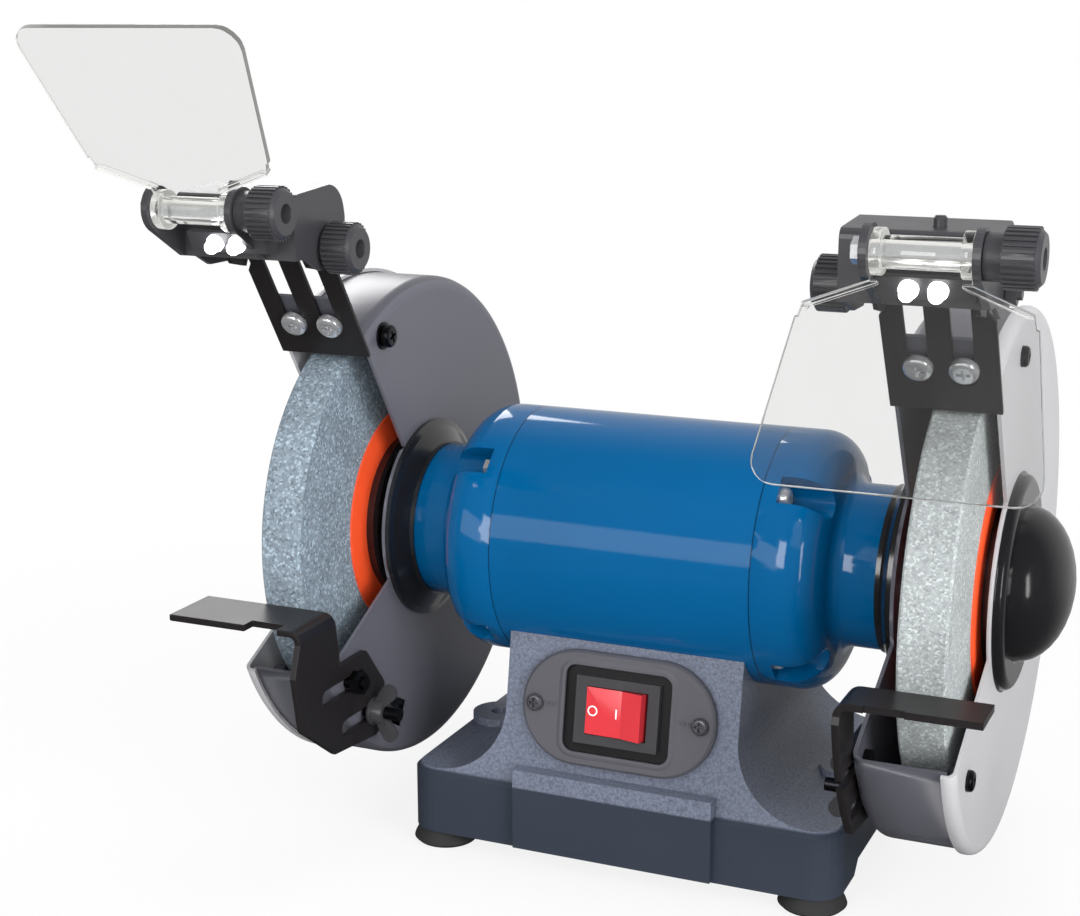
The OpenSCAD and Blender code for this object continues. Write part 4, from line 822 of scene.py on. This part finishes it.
class GRINDER_OT_switch_marks(bpy.types.Operator):
    """Mould the off ring and the on bar on the rocker"""

    bl_idname = "grinder.switch_marks"
    bl_label = "Add switch marks"

    def execute(self, context):
        white = moulded("White mark", (0.8, 0.8, 0.8), rough=0.4)
        bpy.ops.object.select_all(action="DESELECT")
        bpy.ops.mesh.primitive_circle_add(vertices=48, radius=RING_R, fill_type="NGON")
        ring = context.object
        ring.name = "switch_off_ring"
        bpy.ops.object.mode_set(mode="EDIT")
        bpy.ops.mesh.select_all(action="SELECT")
        bpy.ops.mesh.inset(thickness=MARK_LINE)
        bpy.ops.mesh.delete(type="FACE")
        bpy.ops.mesh.select_all(action="SELECT")
        bpy.ops.mesh.extrude_region_move(TRANSFORM_OT_translate={"value": (0, 0, MARK_HEIGHT)})
        bpy.ops.object.mode_set(mode="OBJECT")
        self.close_ring(ring)
        settle(ring, rocker_face(RING_X))
        bpy.ops.object.select_all(action="DESELECT")
        bpy.ops.mesh.primitive_cube_add(size=1.0)
        bar = context.object
        bar.name = "switch_on_bar"
        bpy.ops.object.mode_set(mode="EDIT")
        bpy.ops.mesh.select_all(action="SELECT")
        bpy.ops.transform.resize(value=(0.65 * MM, BAR_L, 2 * MARK_HEIGHT))
        bpy.ops.mesh.bevel(offset=0.1 * MM, segments=2)
        bpy.ops.object.mode_set(mode="OBJECT")
        settle(bar, rocker_face(BAR_X))
        for piece in (ring, bar):
            piece.data.materials.append(white)
            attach(piece, "rocker")
        return {"FINISHED"}

    @staticmethod
    def close_ring(ring):
        """Gives the ring outline a wall all round and turns its faces outwards."""
        only(ring)
        solid = ring.modifiers.new("wall", "SOLIDIFY")
        solid.thickness = MARK_HEIGHT
        bpy.ops.object.modifier_apply(modifier=solid.name)
        bpy.ops.object.mode_set(mode="EDIT")
        bpy.ops.mesh.select_all(action="SELECT")
        bpy.ops.mesh.remove_doubles(threshold=0.01 * MM)
        bpy.ops.mesh.normals_make_consistent(inside=False)
        bpy.ops.object.mode_set(mode="OBJECT")


class GRINDER_OT_switch_legends(bpy.types.Operator):
    """Raise the words OFF and ON on the switch plate, between its screws and its well"""

    bl_idname = "grinder.switch_legends"
    bl_label = "Add switch legends"

    def execute(self, context):
        for word, x in (("OFF", -LEGEND_X), ("ON", LEGEND_X)):
            bpy.ops.object.select_all(action="DESELECT")
            bpy.ops.object.text_add()
            legend = context.object
            legend.data.body = word
            legend.data.size = 3.4 * MM
            legend.data.extrude = 0.25 * MM
            legend.data.align_x, legend.data.align_y = "CENTER", "CENTER"
            bpy.ops.object.convert(target="MESH")
            legend = context.object
            legend.name = f"switch_legend_{word.lower()}"
            bpy.ops.object.mode_set(mode="EDIT")
            bpy.ops.mesh.select_all(action="SELECT")
            bpy.ops.mesh.remove_doubles(threshold=0.002 * MM)
            bpy.ops.mesh.normals_make_consistent(inside=False)
            bpy.ops.object.mode_set(mode="OBJECT")
            settle(legend, PLATE @ Matrix.Translation((x, 0, LEGEND_SEAT)))
            legend.data.materials.clear()
            legend.data.materials.append(bpy.data.materials["Switch plate enamel"])
            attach(legend, "base")
        return {"FINISHED"}


class GRINDER_OT_plate_screws(bpy.types.Operator):
    """Put the black pan screw high on the front of each guard back plate"""

    bl_idname = "grinder.plate_screws"
    bl_label = "Add guard plate screws"

    def execute(self, context):
        y = SPINDLE.y + SCREW_REACH * math.cos(SCREW_ANGLE)
        z = SPINDLE.z + SCREW_REACH * math.sin(SCREW_ANGLE)
        for side, face in zip(SIDES, (-1, 1)):
            screw = self.screw(context, f"{side}_plate_screw")
            out = Matrix.Rotation(-face * math.pi / 2, 4, "Y")
            place = Matrix.Translation((face * GUARD_IN, y, z))
            settle(screw, place @ out @ Matrix.Rotation(0.4, 4, "Z"))
            screw.data.materials.append(bpy.data.materials["Blackened steel"])
            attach(screw, "base")
        return {"FINISHED"}

    @staticmethod
    def screw(context, name):
        """A rounded head with a cross recess on a plain washer, its seat at the origin."""
        bpy.ops.object.select_all(action="DESELECT")
        bpy.ops.mesh.primitive_cylinder_add(
            vertices=48, radius=HEAD_R, depth=HEAD_H, location=(0, 0, 3.0 * MM)
        )
        head = context.object
        head.name = name
        crown = head.modifiers.new("crown", "BEVEL")
        crown.width, crown.segments, crown.angle_limit = 1.3 * MM, 5, math.radians(60)
        for angle in (0, math.pi / 2):
            bpy.ops.object.select_all(action="DESELECT")
            bpy.ops.mesh.primitive_cube_add(
                size=1.0, location=(0, 0, 5.0 * MM), rotation=(0, 0, angle)
            )
            cutter = context.object
            cutter.scale = (RECESS_L, RECESS_W, RECESS_H)
            bpy.context.view_layer.update()
            only(head)
            slot = head.modifiers.new("recess", "BOOLEAN")
            slot.operation, slot.solver, slot.object = "DIFFERENCE", "EXACT", cutter
            for made in list(head.modifiers):
                bpy.ops.object.modifier_apply(modifier=made.name)
            bpy.data.objects.remove(cutter, do_unlink=True)
        bpy.ops.object.select_all(action="DESELECT")
        bpy.ops.mesh.primitive_cylinder_add(
            vertices=48, radius=WASHER_R, depth=WASHER_T, location=(0, 0, WASHER_T / 2)
        )
        washer = context.object
        rim = washer.modifiers.new("rim", "BEVEL")
        rim.width, rim.segments, rim.angle_limit = 0.25 * MM, 2, math.radians(60)
        only(washer)
        bpy.ops.object.modifier_apply(modifier=rim.name)
        head.select_set(True)
        bpy.context.view_layer.objects.active = head
        bpy.ops.object.join()
        bpy.ops.object.shade_smooth_by_angle(angle=math.radians(35))
        return head


class GRINDER_OT_soften_edges(bpy.types.Operator):
    """Round the sharp edges of castings, pressings and mouldings"""

    bl_idname = "grinder.soften_edges"
    bl_label = "Soften edges"

    def execute(self, context):
        widths = {"base_casting": 0.8, "switch_plate": 0.25, "switch_body": 0.5,
                  "switch_rocker": 0.4, "spark_plate_screws": 0.2}
        paired = {"end_bell": 0.4, "spark_plate": 0.35, "tool_rest": 0.6, "lamp_housing": 0.6,
                  "guard_body": 0.4, "guard_cover": 0.4, "visor": 0.3, "arm_knob": 0.25,
                  "visor_knob": 0.25, "rest_knob": 0.4}
        for side in SIDES:
            widths.update({f"{side}_{part}": width for part, width in paired.items()})
        for name, width in widths.items():
            part = NODES[name]
            weld = part.modifiers.new("Weld", "WELD")
            weld.merge_threshold = 0.00002
            round_off = part.modifiers.new("Round", "BEVEL")
            round_off.width = width * MM
            round_off.segments = 2
            round_off.limit_method = "ANGLE"
            round_off.angle_limit = math.radians(38)
            round_off.use_clamp_overlap = True
            round_off.harden_normals = True
        return {"FINISHED"}


CAMERA_DIP = 14.83  # degrees below level
CAMERA_TURN = 23.57  # degrees round to the right of straight ahead
LOOKED_AT = Vector((0, -0.03, 0.15))  # what every softbox points to
BACK_LEVEL = 0.62  # mirrored brightness behind the grinder
BACKWARD = (0.0, 0.8)  # how far a direction turns backward while the mirrored level rises
# Name, place, size, and whether shiny surfaces mirror it
SOFTBOXES = (
    ("Key", (-0.5, -1.2, 1.3), (0.9, 0.9), False),
    ("Fill", (1.45, -0.75, 0.75), (0.9, 0.9), False),
    ("Wash", (0.55, -1.6, 0.6), (1.0, 0.8), False),
    ("Top", (0.1, 0.1, 1.5), (0.8, 0.5), False),
    ("Rim", (-0.9, 0.9, 0.9), (0.6, 0.6), True),
    ("Window", (-0.1, -1.25, 0.52), (0.3, 0.5), True),
    ("Side", (-0.52, -1.15, 0.42), (0.66, 0.42), True),
    ("Strip", (1.25, -1.05, 0.35), (0.24, 0.8), True),
)


class GRINDER_OT_studio(bpy.types.Operator):
    """Set up the camera, softboxes, floor and surroundings"""

    bl_idname = "grinder.studio"
    bl_label = "Set up studio"

    def execute(self, context):
        look = context.scene.grinder_studio
        scene = context.scene
        scene.view_settings.view_transform = "Standard"
        camera = bpy.data.objects.new("Camera", bpy.data.cameras.new("Camera"))
        scene.collection.objects.link(camera)
        camera.location = (0.28885, -0.81188, 0.37997)
        camera.rotation_euler = (math.radians(90 - CAMERA_DIP), 0, math.radians(CAMERA_TURN))
        camera.data.lens = look.lens
        camera.data.sensor_width = 36
        camera.data.shift_x, camera.data.shift_y = -0.0046, 0.0574
        camera.data.clip_start = 0.02
        scene.camera = camera
        for name, place, size, mirrored in SOFTBOXES:
            self.softbox(name, place, getattr(look, name.lower()), size, mirrored)
        self.surroundings(scene, look.ambient, look.front)
        self.floor(look.front)
        return {"FINISHED"}

    @staticmethod
    def softbox(name, place, power, size, mirrored):
        """An area light aimed at the motor."""
        data = bpy.data.lights.new(name, "AREA")
        data.shape = "RECTANGLE"
        data.size, data.size_y = size
        data.energy = power
        lamp = bpy.data.objects.new(name, data)
        bpy.context.scene.collection.objects.link(lamp)
        lamp.location = place
        lamp.visible_glossy = mirrored
        lamp.visible_transmission = False
        lamp.rotation_euler = (LOOKED_AT - Vector(place)).to_track_quat("-Z", "Y").to_euler()

    @staticmethod
    def surroundings(scene, ambient, front):
        """Even light, white where seen directly or through a sheet, darker ahead when mirrored."""
        world = bpy.data.worlds.new("Studio")
        scene.world = world
        world.use_nodes = True
        tree = world.node_tree
        lit = tree.nodes["Background"]
        lit.inputs["Strength"].default_value = ambient
        lit.inputs["Color"].default_value = (1, 1, 1, 1)
        seen = put(tree, "ShaderNodeBackground", (-1, -1))
        constant(seen, Color=(1, 1, 1, 1), Strength=1.0)
        mirrored = put(tree, "ShaderNodeBackground", (-1, -3))
        mirrored.inputs["Color"].default_value = (1, 1, 1, 1)
        place = put(tree, "ShaderNodeTexCoord", (-4, -3))
        split = put(tree, "ShaderNodeSeparateXYZ", (-3, -3))
        join(tree, place.outputs["Generated"], split.inputs["Vector"])
        level = soft_step(tree, split.outputs["Y"], BACKWARD, (front, BACK_LEVEL), (-2, -3))
        join(tree, level, mirrored.inputs["Strength"])
        path = put(tree, "ShaderNodeLightPath", (-4, 1))
        white = put(tree, "ShaderNodeMixShader", (0, 0))
        join(tree, looked_at(tree, path, (-3, 1)), white.inputs[0])
        join(tree, lit.outputs["Background"], white.inputs[1])
        join(tree, seen.outputs["Background"], white.inputs[2])
        both = put(tree, "ShaderNodeMixShader", (1, 0))
        join(tree, reflected(tree, path, (-1, 3)), both.inputs[0])
        join(tree, white.outputs["Shader"], both.inputs[1])
        join(tree, mirrored.outputs["Background"], both.inputs[2])
        join(tree, both.outputs["Shader"], tree.nodes["World Output"].inputs["Surface"])

    @staticmethod
    def floor(front):
        """A wide pale floor that keeps a soft shadow."""
        bpy.ops.object.select_all(action="DESELECT")
        bpy.ops.mesh.primitive_plane_add(size=24.0, location=(0, 0, -0.0004))
        ground = bpy.context.object
        ground.name = "floor"
        made, tree, surface = material("Pale floor")
        speck = noise(tree, 40.0, 3.0, (-3, 1))
        tone = blend_value(tree, speck, 0.985, 1.0, (-2, 1))
        join(tree, scaled(tree, (0.6, 0.6, 0.6), tone, (-1, 1)), surface.inputs["Base Color"])
        constant(surface, Roughness=0.9)
        glow = put(tree, "ShaderNodeEmission", (0, -1))
        constant(glow, Color=(1, 1, 1, 1), Strength=1.0)
        place = put(tree, "ShaderNodeTexCoord", (-6, -2))
        reach = put(tree, "ShaderNodeVectorMath", (-5, -1), operation="LENGTH")
        join(tree, place.outputs["Object"], reach.inputs[0])
        near = soft_step(tree, reach.outputs["Value"], (0.25, 0.75), (0.84, 1.0), (-4, -1))
        bearing = put(tree, "ShaderNodeVectorMath", (-6, -4), operation="NORMALIZE")
        split = put(tree, "ShaderNodeSeparateXYZ", (-5, -4))
        join(tree, place.outputs["Object"], bearing.inputs[0])
        join(tree, bearing.outputs["Vector"], split.inputs["Vector"])
        behind = soft_step(tree, split.outputs["Y"], BACKWARD, (front, BACK_LEVEL), (-4, -4))
        under = soft_step(tree, reach.outputs["Value"], (0.1, 0.9), (0.42, 1.0), (-4, -5))
        level = put(tree, "ShaderNodeMath", (-3, -4), operation="MULTIPLY")
        join(tree, behind, level.inputs[0])
        join(tree, under, level.inputs[1])
        path = put(tree, "ShaderNodeLightPath", (-5, -2))
        seen = put(tree, "ShaderNodeMath", (-3, -2), operation="MULTIPLY")
        join(tree, looked_at(tree, path, (-4, -2)), seen.inputs[0])
        join(tree, near, seen.inputs[1])
        both = put(tree, "ShaderNodeMixShader", (1, 0))
        join(tree, seen.outputs["Value"], both.inputs[0])
        join(tree, surface.outputs["BSDF"], both.inputs[1])
        join(tree, glow.outputs["Emission"], both.inputs[2])
        mirrored = put(tree, "ShaderNodeEmission", (0, -4))
        join(tree, level.outputs["Value"], mirrored.inputs["Strength"])
        all_rays = put(tree, "ShaderNodeMixShader", (2, 0))
        join(tree, reflected(tree, path, (-1, 2)), all_rays.inputs[0])
        join(tree, both.outputs["Shader"], all_rays.inputs[1])
        join(tree, mirrored.outputs["Emission"], all_rays.inputs[2])
        join(tree, all_rays.outputs["Shader"], tree.nodes["Material Output"].inputs["Surface"])
        ground.data.materials.append(made)


STEPS = (
    GRINDER_OT_studio,
    GRINDER_OT_paint,
    GRINDER_OT_stones,
    GRINDER_OT_steel,
    GRINDER_OT_trim,
    GRINDER_OT_switch_marks,
    GRINDER_OT_switch_legends,
    GRINDER_OT_plate_screws,
    GRINDER_OT_soften_edges,
)


class GRINDER_PT_panel(bpy.types.Panel):
    """Steps that dress the grinder"""

    bl_idname = "GRINDER_PT_panel"
    bl_label = "Bench grinder"
    bl_space_type = "VIEW_3D"
    bl_region_type = "UI"
    bl_category = "Grinder"

    def draw(self, context):
        for step in STEPS:
            self.layout.operator(step.bl_idname)
        for name in SETTINGS:
            block = getattr(context.scene, name)
            box = self.layout.box()
            box.label(text=block.bl_rna.name)
            for key in block.__annotations__:
                box.prop(block, key)


SETTINGS = {
    "grinder_paint": GrinderPaint,
    "grinder_stone": GrinderStone,
    "grinder_trim": GrinderTrim,
    "grinder_studio": GrinderStudio,
}
CLASSES = (*SETTINGS.values(), *STEPS, GRINDER_PT_panel)


def register():
    for made in CLASSES:
        bpy.utils.register_class(made)
    for name, made in SETTINGS.items():
        setattr(bpy.types.Scene, name, bpy.props.PointerProperty(type=made))


def unregister():
    for name in SETTINGS:
        delattr(bpy.types.Scene, name)
    for made in reversed(CLASSES):
        bpy.utils.unregister_class(made)


def main():
    """Runs every step in order."""
    register()
    for step in STEPS:
        area, name = step.bl_idname.split(".")
        getattr(getattr(bpy.ops, area), name)()


if __name__ == "__main__":
    main()
